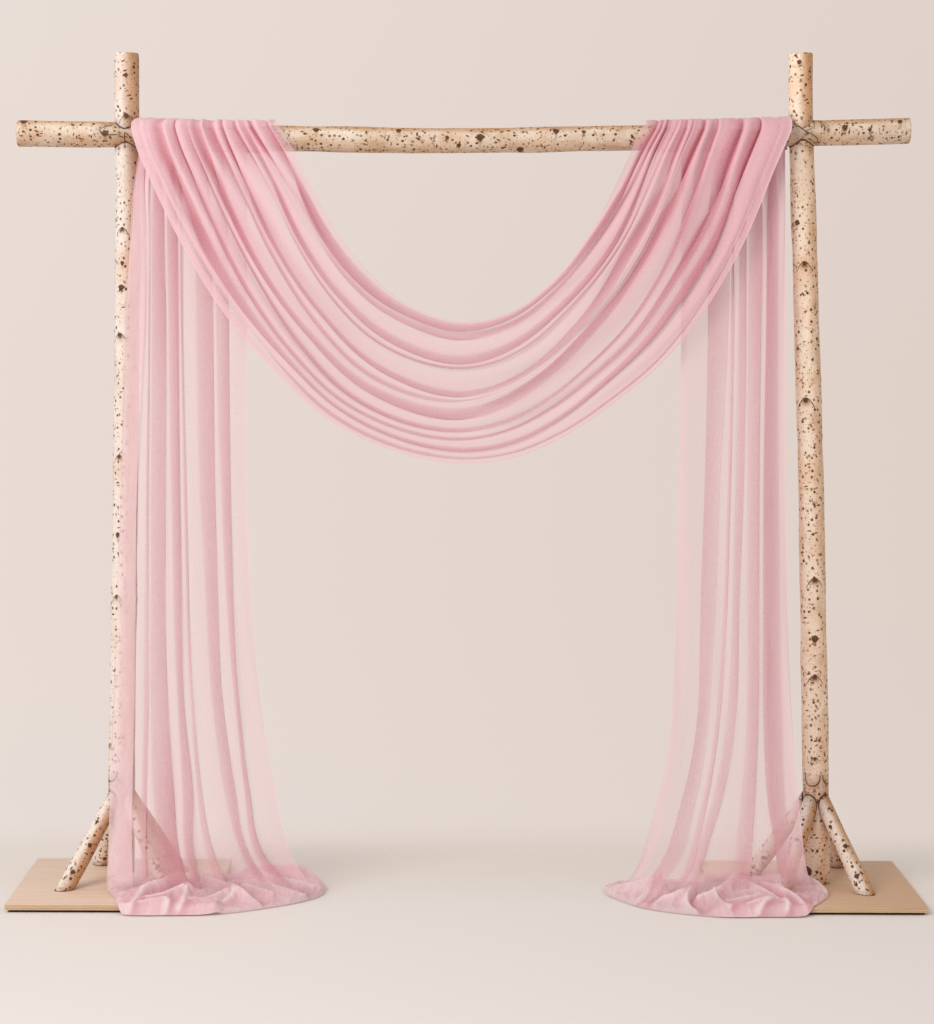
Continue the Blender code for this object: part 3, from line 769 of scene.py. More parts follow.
# The folds, at eleven stations between the gathers: where each begins across the panel, from 0 at
# its upper edge to 1000 at its lower one, where it ends, and how strong it is, in tenths.
SWAG_FOLDS = (
    ((60, 55, 50, 35, 20, 15, 12, 14, 20, 50, 70), (90, 100, 120, 115, 80, 75, 45, 40, 60, 85, 95),
     (7, 7, 9, 10, 10, 10, 10, 10, 10, 10, 10)),
    ((170, 150, 140, 130, 100, 90, 70, 60, 75, 100, 110),
     (200, 165, 155, 160, 135, 135, 110, 85, 95, 120, 130), (10, 3, 3, 8, 10, 10, 10, 9, 8, 8, 8)),
    ((220, 215, 240, 250, 245, 240, 190, 160, 170, 160, 150),
     (245, 250, 275, 290, 300, 300, 240, 200, 195, 175, 165), (8, 8, 10, 10, 10, 10, 10, 10, 9, 9, 10)),
    ((285, 270, 290, 325, 335, 320, 270, 225, 222, 215, 215),
     (315, 285, 305, 340, 350, 335, 285, 240, 237, 230, 230), (10, 3, 5, 10, 10, 10, 9, 8, 6, 2, 2)),
    ((375, 405, 425, 450, 480, 490, 420, 335, 270, 280, 270),
     (395, 420, 445, 475, 515, 530, 460, 400, 345, 335, 300), (7, 8, 8, 10, 10, 10, 10, 10, 10, 10, 10)),
    ((440, 450, 475, 525, 560, 550, 475, 410, 370, 350, 325),
     (490, 470, 500, 550, 585, 565, 485, 415, 380, 360, 335), (10, 5, 7, 10, 9, 4, 0, 0, 0, 2, 4)),
    ((530, 560, 590, 610, 630, 610, 510, 430, 410, 385, 390),
     (590, 610, 625, 650, 690, 690, 585, 500, 450, 450, 420), (10, 10, 10, 10, 10, 10, 10, 10, 10, 10, 10)),
    ((615, 630, 660, 720, 760, 750, 690, 635, 585, 530, 480),
     (630, 645, 675, 745, 785, 775, 715, 660, 610, 565, 510), (4, 6, 8, 10, 10, 9, 8, 8, 8, 9, 10)),
    ((700, 720, 755, 800, 825, 815, 760, 715, 670, 660, 640),
     (720, 740, 780, 825, 845, 835, 785, 750, 720, 735, 680), (7, 8, 9, 10, 10, 10, 9, 9, 10, 10, 10)),
    ((790, 800, 820, 860, 885, 885, 855, 800, 770, 780, 770),
     (840, 880, 885, 885, 905, 910, 880, 840, 825, 825, 800), (10, 10, 8, 10, 10, 10, 10, 10, 10, 9, 10)),
    ((920, 925, 910, 930, 945, 950, 950, 950, 945, 935, 925),
     (935, 940, 930, 950, 965, 965, 965, 965, 960, 950, 940), (0, 0, 1, 4, 6, 4, 4, 4, 3, 0, 0)))
# Which side of each fold lies in front on the right half: 1 its lower side, -1 its upper one.
SWAG_RIGHT_LEAN = (1, -1, 1, 1, -1, -1, -1, -1, -1, 1, 1)
SWAG_ROWS, FOLD_SAMPLES, WRAP_ROWS = 230, 5, 36
# How much one layer hides, at places from the left gather to the right one.
SWAG_COVER = ((0.0, 0.90), (0.15, 0.84), (0.30, 0.62), (0.42, 0.51), (0.50, 0.48), (0.60, 0.51),
              (0.72, 0.61), (0.82, 0.80), (0.90, 0.92), (1.0, 0.92))
CHIFFON_COVER, PANEL_WIDTH, HEM_COVER, NEXT_TO_HEM = 0.33, 0.72, 0.60, 0.45
# How far crests, turns and valleys stand out or lie back, where the cloth is flat and gathered.
CREST_FLAT, CREST_GATHERED, FLAT_BACK, FLAT_TURN = 0.0028, 0.0075, 0.001, 0.0058
GATHERED_TURN, GATHERED_VALLEY, LAYER_EDGE, LEAST_FACING = 0.002, 0.007, 0.006, 1.0 / 6.0
# The wraps: how far round the beam they go, how close they lie, and where they stop at the posts.
WRAP_TURN, WRAP_SETTLE, WRAP_FIT = math.radians(262), math.radians(80), math.radians(70)
WRAP_CLEAR, WRAP_CREST, WRAP_HEAP, CREST_LOW, CREST_HIGH = 0.0032, 0.0038, 0.0065, 0.018, 0.034
LEFT_POST_SIDE, RIGHT_POST_SIDE, SKIN_CLEAR, WRAP_PALER = -0.8775, 0.8460, 0.0016, 0.65
# Shade: how much lighter the flat folds are, where layers lie over each other, and the whole tone.
FLAT_PALER, BANDS_FLAT, BANDS_BELOW_GATHER, FOLD_DARK = 0.42, 0.26, 0.40, 0.44
LEFT_GATHER_DARK, RIGHT_GATHER_LESS, SWAG_TONE, RIGHT_TONE = 0.40, 0.32, 0.13, 0.20


def fold_points(near, far, strong, lean, gathered, lit, phase):
    """Control points across a folded panel, row by row: place across, depth behind its face, shade and cover.

    Each fold is a flat Z of three layers, or an open valley where the panel is gathered, steep on the
    side that faces the light: lit is 1 where that is the side nearer the upper edge and -1 where it is
    the other. The turn that lies in front reads as a dark crisp edge, and the one behind as a soft one."""
    middle, half, flat = (near + far) / 2, (far - near) / 2, 1 - gathered
    turned = 1 - 2 * np.maximum(gathered, fall(strong, 0.15, 0.5))
    number = np.arange(near.shape[1])
    swing = strong * (1 + 0.25 * np.sin(1.9 * number + phase))
    none, whole = np.zeros_like(near[:, :1]), np.ones_like(near[:, :1])
    starts, stops = np.hstack([none, far]), np.hstack([near, whole])
    crest_at = (starts + stops) / 2 + gathered * lit * 0.26 * (stops - starts)
    crest = 1 + 0.3 * np.sin(2.3 * np.append(number, number[-1]) + phase)
    crest = -(CREST_FLAT * flat + CREST_GATHERED * gathered) * crest
    room = np.clip(np.diff(crest_at, axis=1) / 0.10, 0.30, 1.0)
    shallow = crest[:, :-1] * (1 - np.clip(strong * room, 0, 1))
    leaning, drawn_in = FLAT_TURN * lean * swing, gathered * GATHERED_TURN * swing
    first, last = (1 + lean) / 2, (1 - lean) / 2
    kinds = (
        (none, (crest_at[:, :-1], middle + turned * half, middle - gathered * lit * 0.5 * half,
                middle - turned * half), crest_at[:, -1:], whole),
        (crest[:, :1] * 0.8, (crest[:, :-1], flat * (FLAT_BACK - leaning) - drawn_in + shallow,
                              gathered * GATHERED_VALLEY * swing * room + shallow,
                              flat * (FLAT_BACK + leaning) - drawn_in + shallow),
         crest[:, -1:], crest[:, -1:] * 0.9),
        (none, (none, swing * (flat * first + gathered * (0.55 - 0.45 * lit)),
                swing * (0.75 * flat + gathered),
                swing * (flat * last + gathered * (0.55 + 0.45 * lit))), none, none),
        (whole, (whole, 1 - flat * 0.65 * last, 1 - flat * 0.15, 1 - flat * 0.65 * first), whole, whole))
    return [np.hstack([start, np.stack([v + 0 * near for v in folds], 2).reshape(len(near), -1), *ends])
            for start, folds, *ends in kinds]


def across_panel(points, samples):
    """Smooth curves through a panel's control points, and each sample's place among those points."""
    count = points[0].shape[1]
    place = np.linspace(0, count - 1, samples * (count - 1) + 1)
    first = np.minimum(place.astype(int), count - 2)
    u = place - first
    weights = np.zeros((len(place), count))
    for step, share in ((-1, -u / 2 + u**2 - u**3 / 2), (0, 1 - 2.5 * u**2 + 1.5 * u**3),
                        (1, u / 2 + 2 * u**2 - 1.5 * u**3), (2, -u**2 / 2 + u**3 / 2)):
        np.add.at(weights, (np.arange(len(place)), np.clip(first + step, 0, count - 1)), share)
    return [values @ weights.T for values in points] + [place]


def plateau(value, low, high, edge):
    """1 between two levels and 0 outside them, with smooth sides."""
    return rise(value, low - edge, low + edge) * fall(value, high - edge, high + edge)


def even_bands(across, near, far, strong):
    """Where the layers of the folds lie over each other, evenly from edge to edge of each fold."""
    return sum(strong[:, k:k + 1] * plateau(across, near[:, k:k + 1], far[:, k:k + 1], LAYER_EDGE)
               for k in range(near.shape[1]))


def wave(turns):
    """A sine of whole turns."""
    return np.sin(2 * np.pi * turns)


def area_of(grid):
    """The area of a grid of points."""
    a, b = grid[1:, 1:] - grid[:-1, :-1], grid[1:, :-1] - grid[:-1, 1:]
    return float(np.linalg.norm(np.cross(a, b), axis=2).sum() / 2)


def sheet_of(name, grid, cover, shade, turned=False):
    """An open sheet of cloth from a grid of points, with its thread coordinates and its cover."""
    rows, columns = grid.shape[:2]
    corner = np.arange(rows * columns).reshape(rows, columns)
    quads = np.stack([corner[:-1, :-1], corner[:-1, 1:], corner[1:, 1:], corner[1:, :-1]], -1).reshape(-1, 4)
    if turned:
        quads = quads[:, ::-1]
    mesh = bpy.data.meshes.new(name)
    mesh.from_pydata(grid.reshape(-1, 3).tolist(), [], quads.tolist())
    piece = bpy.data.objects.new(name, mesh)
    scene.collection.objects.link(piece)
    along = np.concatenate([[0.0], np.cumsum(np.linalg.norm(np.diff(grid[:, columns // 2], axis=0), axis=1))])
    widths = np.linalg.norm(np.diff(grid, axis=1), axis=2).mean(0)
    across = np.concatenate([[0.0], np.cumsum(widths)])
    threads = np.stack(np.broadcast_arrays(across[None, :], along[:, None]), -1).reshape(-1, 2)
    uv = mesh.uv_layers.new(name="threads")
    uv.data.foreach_set("uv", threads[quads.ravel()].ravel())
    store(piece, "cover", cover.ravel())
    store(piece, "shade", shade.ravel())
    for face in mesh.polygons:
        face.use_smooth = True
    return piece


def seen_edge_on(grid, first_cover, outward=FRONT):
    """How much a fold of thin cloth hides: more where it turns away from its panel's own face."""
    normal = np.cross(np.gradient(grid, axis=0), np.gradient(grid, axis=1))
    normal /= np.maximum(np.linalg.norm(normal, axis=2, keepdims=True), 1e-9)
    facing = np.abs((normal * outward).sum(2))
    return 1 - np.power(1 - first_cover, 1.0 / np.maximum(facing, LEAST_FACING))


def hemmed(cover, shade):
    """The narrow rolled hem down both long edges: denser, and pale with most of its painted shade off."""
    for column, least in ((0, HEM_COVER), (1, NEXT_TO_HEM), (-2, NEXT_TO_HEM), (-1, HEM_COVER)):
        cover[:, column] = np.maximum(cover[:, column], least)
        shade[:, column] *= 0.3
    return cover, shade


shares = np.linspace(0, 1, SWAG_ROWS)
top_edge, low_edge = (smooth(np.array(edge) / 1000, shares) for edge in (SWAG_UPPER, SWAG_LOWER))
stations = np.linspace(0, 1, len(SWAG_FOLDS[0][0]))
near, far, strong = (smooth(np.array([fold[kind] for fold in SWAG_FOLDS]).T / unit, shares, stations)
                     for kind, unit in enumerate((1000, 1000, 10)))
strong = np.clip(strong, 0, 1)
row = shares[:, None]
from_end = np.minimum(row, 1 - row)
turning = rise(row, 0.46, 0.58)
lean = 1 - turning + turning * np.array([SWAG_RIGHT_LEAN])
gathered = fall(from_end, 0.02, 0.15)
points = fold_points(near, far, strong, lean, gathered, 1 - 2 * turning, 4 * row)
across, depth, dark, layer, place = across_panel(points, FOLD_SAMPLES)
below_gather = rise(from_end, 0.03, 0.08) * fall(from_end, 0.16, 0.30)
flat = 1 - gathered
bands = BANDS_FLAT * flat + BANDS_BELOW_GATHER * below_gather
dark = dark * (1 - FLAT_PALER * flat) + bands * even_bands(across, near, far, strong)
hang = np.sin(np.pi * row)
ripple = 0.0020 * wave(0.65 * place + 0.8 * np.sin(5 * row)) + 0.0012 * wave(0.31 * place + 2.6 * row)
ripple = ripple * np.clip(np.abs(np.gradient(across, axis=1)) / 0.012, 0.1, 1)
ripple = ripple * (1 - 0.8 * rise(across, 0.93, 0.97))
bulge = BULGE_HIGH * hang + (BULGE_LOW * np.power(hang, 0.6) - BULGE_HIGH * hang) * across
x, z = (top_edge[:, k:k + 1] * (1 - across) + low_edge[:, k:k + 1] * across for k in (0, 1))
swag_front = np.stack([x, SWAG_Y - bulge + depth - ripple, z], 2)


def wrapped(inner, edge, edge_depth, post_side, heaped_at):
    """The cloth from the front of the beam over its top, down its back and under it, row by row.

    Each fold goes on in its own direction for a while, the cloth lies thicker on the beam from one
    share of its width on, and the panel stops short of the post."""
    slant = np.clip((edge[:, 0] - inner[:, 0]) / (edge[:, 2] - inner[:, 2]), -1.0, 1.0)
    beam_z, beam_r = course_at(BEAM, 0, edge[:, 0])[2:]
    start_r = BEAM[0][1] - edge[:, 1]
    crest = np.clip((CREST_LOW - edge_depth) / CREST_HIGH, 0, 1)
    rows = []
    for turn in np.linspace(0, WRAP_TURN, WRAP_ROWS + 1)[1:]:
        settled = rise(turn, 0.0, WRAP_SETTLE)
        pucker = 0.0010 * np.sin(place * 4.1 + 2 * turn) + 0.0007 * np.sin(place * 9.7 - 3 * turn)
        heap = WRAP_HEAP * rise(place / place[-1], 0.0, heaped_at) * max(math.sin(turn), 0.0)
        r = start_r * (1 - settled) + (beam_r + WRAP_CLEAR + WRAP_CREST * crest + pucker + heap) * settled
        middle_z = beam_z + (edge[:, 2] - beam_z) * (1 - settled)
        x = edge[:, 0] + slant * 0.034 * (1 - math.exp(-turn / 0.9))
        x = x + 0.002 * np.sin(turn) * np.sin(place * 0.9)
        fit = 1 + rise(turn, 0.0, WRAP_FIT) * ((post_side - x[0]) / (x[-1] - x[0]) - 1)
        x = x[0] + (x - x[0]) * fit
        rows.append(np.stack([x, BEAM[0][1] - r * math.cos(turn), middle_z + r * math.sin(turn)], 1))
    return np.array(rows)


def padded(values):
    """Rows for the swag and both wraps, which take after its first and its last row."""
    return np.pad(values, ((WRAP_ROWS, WRAP_ROWS), (0, 0)), mode="edge")


left_wrap = wrapped(swag_front[3], swag_front[0], depth[0], LEFT_POST_SIDE, 1.0)
right_wrap = wrapped(swag_front[-4], swag_front[-1], depth[-1], RIGHT_POST_SIDE, 0.35)
swag_grid = np.concatenate([left_wrap[::-1], swag_front, right_wrap])
beam_z, beam_r = course_at(BEAM, 0, swag_grid[..., 0])[2:]
out_y, out_z = swag_grid[..., 1] - BEAM[0][1], swag_grid[..., 2] - beam_z
reach = np.maximum(np.hypot(out_y, out_z), 1e-6)
push = np.maximum((beam_r + SKIN_CLEAR) / reach, 1.0)
swag_grid[..., 1] = BEAM[0][1] + out_y * push
swag_grid[..., 2] = beam_z + out_z * push
outward = np.zeros_like(swag_grid) + FRONT
row, dark, layer, across, first_near = (padded(values) for values in (row, dark, layer, across, near[:, :1]))
for wrap in (slice(None, WRAP_ROWS), slice(-WRAP_ROWS, None)):
    outward[wrap, :, 1], outward[wrap, :, 2] = (out_y / reach)[wrap], (out_z / reach)[wrap]
    dark[wrap] *= WRAP_PALER
# The strip above the first fold is one layer, so that the beam and the wall show through it.
layer = layer * (0.5 + 0.5 * rise(across, first_near * 0.75, first_near * 1.1))
cover = seen_edge_on(swag_grid, layer * np.interp(row, *np.array(SWAG_COVER).T), outward)
from_beam = np.minimum(row, 1 - row)
ends = fall(from_beam, 0.05, 0.24) * (0.3 + 0.7 * rise(from_beam, 0.0, 0.05))
shade = (FOLD_DARK + (LEFT_GATHER_DARK - RIGHT_GATHER_LESS * rise(row, 0.4, 0.6)) * ends) * dark
shade = np.clip(shade + SWAG_TONE + RIGHT_TONE * rise(row, 0.55, 1.0), 0, 1.5)
swag = sheet_of("chiffon_swag", swag_grid, *hemmed(cover, shade))

chiffon, tree = new_look("pink chiffon")
threads = Value(node(tree, "UVMap", uv_map="threads").outputs[0])
crinkle = cloudy(threads, (60.0, 9.0, 1.0), 3.0, 0.6)
weave = cloudy(threads, (700.0, 240.0, 1.0), 1.0)
shade_value = stored(tree, "shade")
# The chiffon's pink with painted shade and light: the stored shade darkens it to deep rose in folds, gathers
# and the pools' shadows, where layers lie over each other and shade falls, and below zero paints it paler
# where light falls on the pools and on the strip over the left post; the weave adds paler threads.
dye_shade_and_light = tint(shade_value, (247, 205, 212), (199, 105, 120))
dye_shade_and_light = tint(band(shade_value, 1.0, 1.6), dye_shade_and_light, (180, 98, 111))
dye_shade_and_light = tint(band(shade_value, -0.6, 0.0, 1.0, 0.0), dye_shade_and_light, (255, 233, 235))
dye_shade_and_light = tint(band(weave, 0.3, 0.8, 0.0, 0.14), dye_shade_and_light, (252, 224, 226))
thread_cover = stored(tree, "cover") * band(weave, 0.2, 0.8, 0.93, 1.07)
thread_cover = thread_cover * band(crinkle, 0.25, 0.8, 0.92, 1.10)
finish_look(chiffon, {"Base Color": dye_shade_and_light, "Alpha": calc("MINIMUM", thread_cover, 1.0),
                      "Roughness": band(weave, 0.2, 0.8, 0.72, 0.88), "Specular IOR Level": 0.2,
                      "Sheen Weight": 0.25, "Sheen Roughness": 0.5}, crinkle + weave * 0.15, 0.35, 0.002)
chiffon.use_backface_culling = False


def dress_cloth(piece, grid, held, rests_on, *nodes):
    """Chiffon on a sheet and the CAD nodes that it stands for; the size that it was cut to is worked out but
    not kept.
    """
    dress(piece, chiffon, "chiffon", *nodes)
    round(area_of(grid) / PANEL_WIDTH, 3)


dress_cloth(swag, swag_grid, "draped", "crossbeam", "swag", "left_wrap", "right_wrap")

# Tails. The panel's two ends, which come from under the beam, hang in front of the posts and
# widen to the floor; their folds fall straight and flare near the foot.
TAIL_EDGES = {
    "left": ((2.000, -0.876, -0.591), (1.904, -0.890, -0.591), (1.786, -0.897, -0.591),
             (1.522, -0.908, -0.590), (0.992, -0.924, -0.584), (0.594, -0.939, -0.559),
             (0.300, -0.950, -0.511), (0.183, -0.953, -0.486), (0.106, -0.956, -0.454),
             (0.060, -0.958, -0.424), (0.020, -0.960, -0.392)),
    "right": ((2.012, 0.558, 0.8340), (1.904, 0.559, 0.8355), (1.786, 0.560, 0.8362),
              (1.495, 0.561, 0.8375), (1.047, 0.557, 0.8435), (0.698, 0.552, 0.853), (0.351, 0.522, 0.875),
              (0.193, 0.482, 0.893), (0.130, 0.464, 0.900), (0.090, 0.444, 0.908), (0.050, 0.414, 0.920),
              (0.020, 0.388, 0.930)),
}
TAIL_TOP_Y, TAIL_SLOPE, TAIL_ROWS = -0.038, -0.066, 240
FOOT_HEIGHT, FOOT_SPREAD, FOOT_CLEAR, FOOT_WHOLE = 0.11, 0.018, 0.030, 0.088
TAIL_STATIONS = (2.00, 1.60, 1.07, 0.81, 0.54, 0.28, 0.14, 0.02)
# Each fold's two sides across the tail at those heights, from 0 at its left edge to 1000 at its
# right one, how strong it is, and 1 where its right side lies in front or -1 where its left does.
TAIL_FOLDS = {
    "left": (
        ((10, 10, 6, 24, 35, 28, 21, 12), (102, 151, 122, 135, 143, 136, 132, 131), 1.0, 1),
        ((112, 168, 193, 201, 205, 189, 177, 165), (130, 185, 217, 231, 239, 219, 204, 194), 0.5, 1),
        ((145, 200, 233, 246, 252, 261, 271, 295), (250, 319, 351, 360, 371, 386, 388, 401), 1.0, 1),
        ((269, 336, 394, 416, 436, 434, 421, 424), (371, 420, 465, 479, 480, 500, 471, 461), 1.0, 1),
        ((398, 441, 496, 512, 524, 529, 538, 556), (417, 458, 520, 534, 545, 559, 577, 596), 0.6, 1),
        ((528, 572, 626, 657, 674, 697, 722, 762), (676, 710, 741, 745, 742, 756, 766, 815), 1.0, 1),
        ((713, 744, 792, 816, 827, 813, 805, 852), (824, 845, 867, 864, 858, 846, 850, 933), 1.0, 1)),
    "right": (
        ((258, 259, 239, 216, 218, 173, 146, 95), (463, 454, 375, 348, 316, 273, 248, 172), 0.6, -1),
        ((484, 482, 456, 423, 382, 322, 292, 273), (505, 506, 483, 454, 414, 358, 331, 310), 0.6, 1),
        ((560, 555, 529, 507, 476, 393, 343, 323), (626, 627, 601, 568, 541, 457, 394, 372), 0.8, 1),
        ((649, 650, 646, 639, 635, 599, 585, 587), (789, 771, 750, 740, 725, 685, 668, 660), 0.9, 1),
        ((826, 822, 791, 780, 766, 784, 827, 850), (938, 939, 940, 939, 929, 905, 916, 923), 1.0, -1)),
}
# Bands that hide more, as where the panel's doubled hem or a further fold lies behind.
TAIL_DENSE = {
    "left": ((-0.05, 0.13, 0.12), (0.36, 0.47, 0.06), (0.5, 1.1, 0.03)),
    "right": ((0.80, 1.10, 0.20), (0.0, 0.05, 0.22)),
}
# What hides more under the beam, in the upper tail and near the foot; painted shade, darker under
# the beam, in the upper tail and over the whole tail; painted light on the strip over the left post.
BEAM_DENSE, UPPER_DENSE, LEFT_FOOT_DENSE, FOOT_DENSE = 0.26, 0.15, 0.10, 0.07
BEAM_DARK, UPPER_DARK, TAIL_TONE, EDGE_PALER = 0.15, 0.10, 0.05, 0.36
TAIL_DARK = {"left": 0.50, "right": 0.36}

for side, edges in TAIL_EDGES.items():
    left_tail, edges, folds = side == "left", np.array(edges), TAIL_FOLDS[side]
    top = edges[0, 0]
    heights = np.linspace(top, edges[-1, 0], TAIL_ROWS)
    left_x, right_x = np.hsplit(smooth(edges[:, 1:], -heights, -edges[:, 0]), 2)
    near, far = (smooth(np.array([fold[kind] for fold in folds]).T / 1000, -heights, -np.array(TAIL_STATIONS))
                 for kind in (0, 1))
    strong, lean = (np.array([[fold[kind] for fold in folds]], float) + 0 * near for kind in (2, 3))
    height = heights[:, None]
    down = (top - height) / top
    near_beam, upper = fall(down, 0.0, 0.10), fall(down, 0.10, 0.36)
    points = fold_points(near, far, strong, lean, 0.35 * near_beam, np.ones_like(down), 3 * down)
    across, depth, dark, layer, place = across_panel(points, FOLD_SAMPLES + 1)
    ripple = 0.0016 * wave(0.61 * place + 0.9 * np.sin(4 * down)) + 0.0010 * wave(0.27 * place + 1.6 * down)
    x = left_x + (right_x - left_x) * across
    y = TAIL_TOP_Y + TAIL_SLOPE * (top - height) + depth * (0.85 + 0.3 * down) - ripple
    foot = fall(height, edges[-1, 0], FOOT_HEIGHT)
    y = y + FOOT_SPREAD * foot * foot * np.cos(place * 0.9)
    tail_grid = np.stack([x, y, height + 0 * x], 2)
    dense = sum(amount * plateau(across, low, high, 0.02) for low, high, amount in TAIL_DENSE[side])
    dense = dense + BEAM_DENSE * near_beam
    dense = dense + UPPER_DENSE * upper * (fall(across, 0.50, 0.60) if left_tail else 1.0)
    dense = dense + LEFT_FOOT_DENSE * fall(height, 0.20, 0.50) * fall(across, 0.40, 0.50) * left_tail
    dense = dense + FOOT_DENSE * fall(height, 0.07, 0.22)
    cover = seen_edge_on(tail_grid, layer * np.clip(CHIFFON_COVER + dense, 0, 0.9))
    light = rise(across, 0.13, 0.20) if left_tail else 1.0
    shade = TAIL_DARK[side] * (0.5 * dark + 0.5 * even_bands(across, near, far, strong)) * light
    shade = shade + BEAM_DARK * near_beam + UPPER_DARK * upper + TAIL_TONE
    shade = shade - EDGE_PALER * (1 - light) * (1 - near_beam)
    cover, shade = hemmed(cover, np.clip(shade, -0.6, 1))
    cover = cover * rise(height, FOOT_CLEAR, FOOT_WHOLE)
    tail = sheet_of(f"chiffon_{side}_tail", tail_grid, cover, shade, turned=True)
    dress_cloth(tail, tail_grid, "hung", "crossbeam", f"{side}_tail")

# Pools. What is left of each tail, run out forward over the board's edge and the floor in soft
# crumpled folds, with the panel's hem lying along the front.
# The front and the back edge: x and y in millimetres.
POOL_FRONT = {
    "left": ((-974, -50), (-966, -110), (-948, -170), (-930, -215), (-916, -280), (-900, -302),
             (-841, -311), (-789, -309), (-748, -307), (-698, -303), (-656, -295), (-605, -272),
             (-544, -236), (-491, -198), (-440, -154), (-405, -109), (-386, -60), (-383, -5)),
    "right": ((374, 20), (379, -60), (419, -143), (458, -203), (520, -251), (583, -282), (650, -305),
              (710, -311), (777, -307), (834, -306), (870, -304), (893, -296), (910, -276), (938, -225),
              (964, -168), (972, -110)),
}
POOL_BACK = {
    "left": ((-974, -50), (-950, -30), (-889, -5), (-781, 20), (-700, 50), (-600, 88), (-516, 104),
             (-437, 108), (-402, 70), (-383, -5)),
    "right": ((374, 20), (396, 56), (440, 88), (500, 108), (570, 116), (650, 110), (720, 80), (780, 45),
              (840, 16), (890, -8), (930, -38), (960, -66), (972, -110)),
}
# The folds: points along each crest, x, y and height, then how far it slopes off on its light side,
# on the right of its course, and on its dark side, all in millimetres, and how deep its shadow is.
POOL_FOLDS = {
    "left": (
        ((-966, -50, 40), (-929, -52, 50), (-889, -60, 56), (-861, -90, 52), 60, 12, 0.5),
        ((-772, -120, 83), (-800, -150, 67), (-835, -175, 62), (-857, -205, 55), (-866, -225, 44),
         (-880, -270, 25), (-887, -298, 10), 38, 12, 0.7),
        ((-851, -240, 36), (-827, -236, 42), (-803, -228, 46), (-774, -198, 52), (-744, -166, 58), 26, 10,
         1.0),
        ((-744, -166, 58), (-744, -215, 46), (-750, -260, 30), (-757, -290, 10), 20, 12, 0.7),
        ((-858, -272, 32), (-836, -268, 38), (-808, -264, 40), (-791, -262, 42), 20, 8, 0.8),
        ((-791, -262, 42), (-788, -282, 26), (-793, -299, 10), 14, 8, 0.8),
        ((-733, -236, 28), (-696, -228, 31), (-662, -190, 36), (-643, -161, 41), 30, 10, 0.6),
        ((-700, -75, 52), (-654, -110, 48), (-612, -148, 45), (-590, -174, 36), (-560, -205, 20), 36, 10,
         0.9),
        ((-612, -150, 45), (-635, -205, 28), (-660, -240, 12), 18, 22, 0.5),
        ((-590, 10, 60), (-560, -50, 55), (-544, -83, 50), (-523, -108, 45), (-483, -128, 36),
         (-444, -130, 22), 30, 10, 1.0),
        ((-585, 20, 66), (-548, -40, 60), (-508, -62, 50), (-447, -70, 40), (-405, -60, 26), 22, 12, 0.7),
        ((-600, 60, 50), (-516, 72, 54), (-450, 66, 52), (-415, 30, 36), 45, 12, 0.3),
        ((-520, -150, 30), (-560, -120, 36), (-600, -90, 40), 16, 16, 0.4)),
    "right": (
        ((385, -20, 14), (436, -55, 34), (475, -75, 50), (505, -100, 66), (520, -116, 76), 40, 14, 0.5),
        ((511, -80, 44), (484, -130, 30), (455, -175, 12), 18, 10, 0.8),
        ((500, -205, 18), (522, -185, 30), (552, -178, 38), (598, -145, 48), 26, 12, 0.9),
        ((601, -150, 50), (584, -200, 40), (585, -245, 24), (600, -272, 12), 22, 9, 1.0),
        ((614, -195, 34), (665, -166, 48), (700, -133, 64), (727, -100, 80), 20, 12, 0.55),
        ((662, -160, 52), (662, -205, 40), (672, -250, 26), (686, -280, 14), 14, 9, 0.9),
        ((748, -107, 60), (772, -145, 54), (805, -205, 45), (824, -240, 36), 42, 10, 1.0),
        ((800, -130, 56), (846, -178, 50), (873, -225, 42), (884, -262, 28), 34, 10, 1.0),
        ((838, -240, 40), (842, -268, 36), (836, -290, 16), 14, 10, 0.9),
        ((800, -240, 42), (778, -268, 36), (762, -296, 14), 14, 12, 0.9),
        ((740, -262, 30), (760, -250, 36), (795, -238, 42), 16, 10, 0.6),
        ((890, -20, 64), (925, -55, 56), (952, -105, 44), (962, -155, 32), 60, 16, 0.4),
        ((690, -225, 26), (730, -215, 32), (770, -205, 36), 20, 12, 0.5)),
}
POOL_COLUMNS, POOL_ROWS, POOL_CLEAR, CREST_STEPS, BOARD_DROP = 400, 110, 0.0035, 40, 0.030
CREST_WIDE, SHADOW_WIDE, FULL_LIFT, HEM_WIDE = 0.009, 0.028, 0.030, 0.016
FLOW_HIGH, FINE_HIGH, CROSS_HIGH, CRUMPLE_BASE = 0.006, 0.0022, 0.0012, 0.002
# Cover: of one layer, where it is raised and over the board's edge. Painted shade: of the low cloth,
# over the board's edge, at the back and in the shadows; painted light: of the whole, along the crests.
POOL_COVER, RAISED_COVER, EDGE_COVER = 0.68, 0.20, 0.87
LOW_DARK, EDGE_DARK, BACK_DARK, POOL_TONE, CREST_PALER, SHADOW_DARK = 0.28, 0.14, 0.36, -0.30, 0.16, 1.7


def ridges(turns):
    """Sharp ridges, two in each whole turn."""
    return 1 - np.abs(np.sin(np.pi * turns))


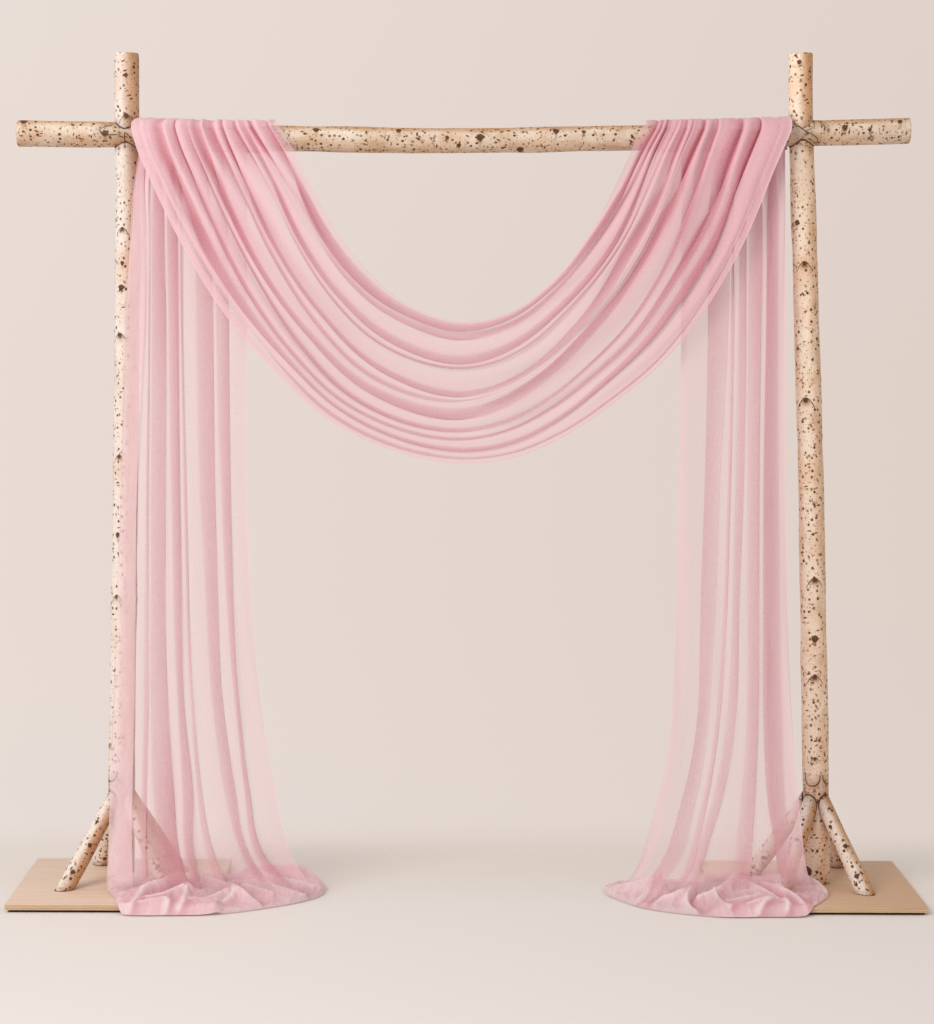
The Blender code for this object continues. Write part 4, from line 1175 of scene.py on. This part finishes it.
for side, folds in POOL_FOLDS.items():
    shares = np.linspace(0, 1, POOL_COLUMNS)
    front_edge, back_edge = (smooth(np.array(edge[side]) / 1000, shares) for edge in (POOL_FRONT, POOL_BACK))
    forward = np.linspace(0, 1, POOL_ROWS)[:, None]
    x, y = (back_edge[:, k] * (1 - forward) + front_edge[:, k] * forward for k in (0, 1))
    run = np.linalg.norm(front_edge - back_edge, axis=1)
    to_hem, to_back, tip = run * (1 - forward), run * forward, np.minimum(shares, 1 - shares) + 0 * x
    inward = BASE_X - BASE_SIDE / 2 - np.abs(x)
    off_board = np.hypot(np.maximum(inward, 0), np.maximum(-BASE_SIDE / 2 - y, 0))
    under = BOARD_TOP * fall(off_board, 0.0, BOARD_DROP) + POOL_CLEAR
    lift, shadow, crest_light = np.zeros_like(x), np.zeros_like(x), np.zeros_like(x)
    for *line, light_side, dark_side, deep in folds:
        knots = smooth(np.array(line) / 1000, np.linspace(0, 1, CREST_STEPS))
        courses = np.gradient(knots[:, :2], axis=0)
        apart = np.hypot(x[..., None] - knots[:, 0], y[..., None] - knots[:, 1])
        nearest, gap = apart.argmin(-1), apart.min(-1)
        here, course = knots[nearest], courses[nearest]
        across = course[..., 0] * (y - here[..., 1]) - course[..., 1] * (x - here[..., 0])
        behind = rise(across / np.maximum(np.linalg.norm(course, axis=-1), 1e-9), -0.003, 0.003)
        slope = np.exp(-np.power(gap * 1000 / light_side, 1.25)) * (1 - behind)
        slope = slope + np.exp(-np.power(gap * 1000 / dark_side, 1.6)) * behind
        lift = np.maximum(lift, np.maximum(here[..., 2] - under, 0) * slope)
        shade = 0.75 * deep * behind * rise(gap, 0.002, 0.009) * np.exp(-gap / SHADOW_WIDE)
        shadow = np.maximum(shadow, shade)
        crest_light = np.maximum(crest_light, np.exp(-np.power(gap / CREST_WIDE, 2)))
    flow = ridges(11 * shares + 0.9 * np.sin(5 * forward + 9 * shares))
    fine = ridges(23 * shares + 1.3 * np.sin(8 * forward - 6 * shares))
    cross = np.sin(x * 83 + 6 * np.sin(y * 31)) * np.sin(y * 71 + 4 * np.sin(x * 29))
    crumple = FLOW_HIGH * flow**2 + FINE_HIGH * fine**2 + CROSS_HIGH * cross + CRUMPLE_BASE
    crumple = np.maximum(crumple, 0) * rise(to_hem, 0.0, HEM_WIDE) * rise(tip, 0.0, 0.15)
    crumple = crumple * (1 - 0.6 * crest_light)
    z = under + lift * rise(to_hem, -0.004, HEM_WIDE) + crumple
    pool_grid = np.stack([x, y, z], 2)
    level = np.clip((z - under) / FULL_LIFT, 0, 1)
    over_edge = rise(-y, 0.225, 0.285) * rise(np.abs(x), 0.630, 0.680)
    cover = (POOL_COVER + RAISED_COVER * level) * (0.60 + 0.40 * rise(to_back, 0.0, 0.03))
    cover = cover * (0.75 + 0.25 * rise(tip, 0.0, 0.10))
    cover = cover * (0.88 + 0.12 * rise(to_hem, 0.006, 0.020)) * (1 - over_edge) + EDGE_COVER * over_edge
    low_shade = LOW_DARK * (1 - level) * rise(to_hem, 0.012, 0.03) + EDGE_DARK * over_edge
    low_shade = low_shade + BACK_DARK * fall(forward, 0.22, 0.50)
    shade = POOL_TONE - CREST_PALER * crest_light + (SHADOW_DARK * shadow + low_shade) * (1 - crest_light)
    shade = np.clip(shade, -0.6, 1.2)
    pool = sheet_of(f"chiffon_{side}_pool", pool_grid, cover, shade, turned=True)
    dress_cloth(pool, pool_grid, "laid", f"{side}_base_board", f"{side}_pool")
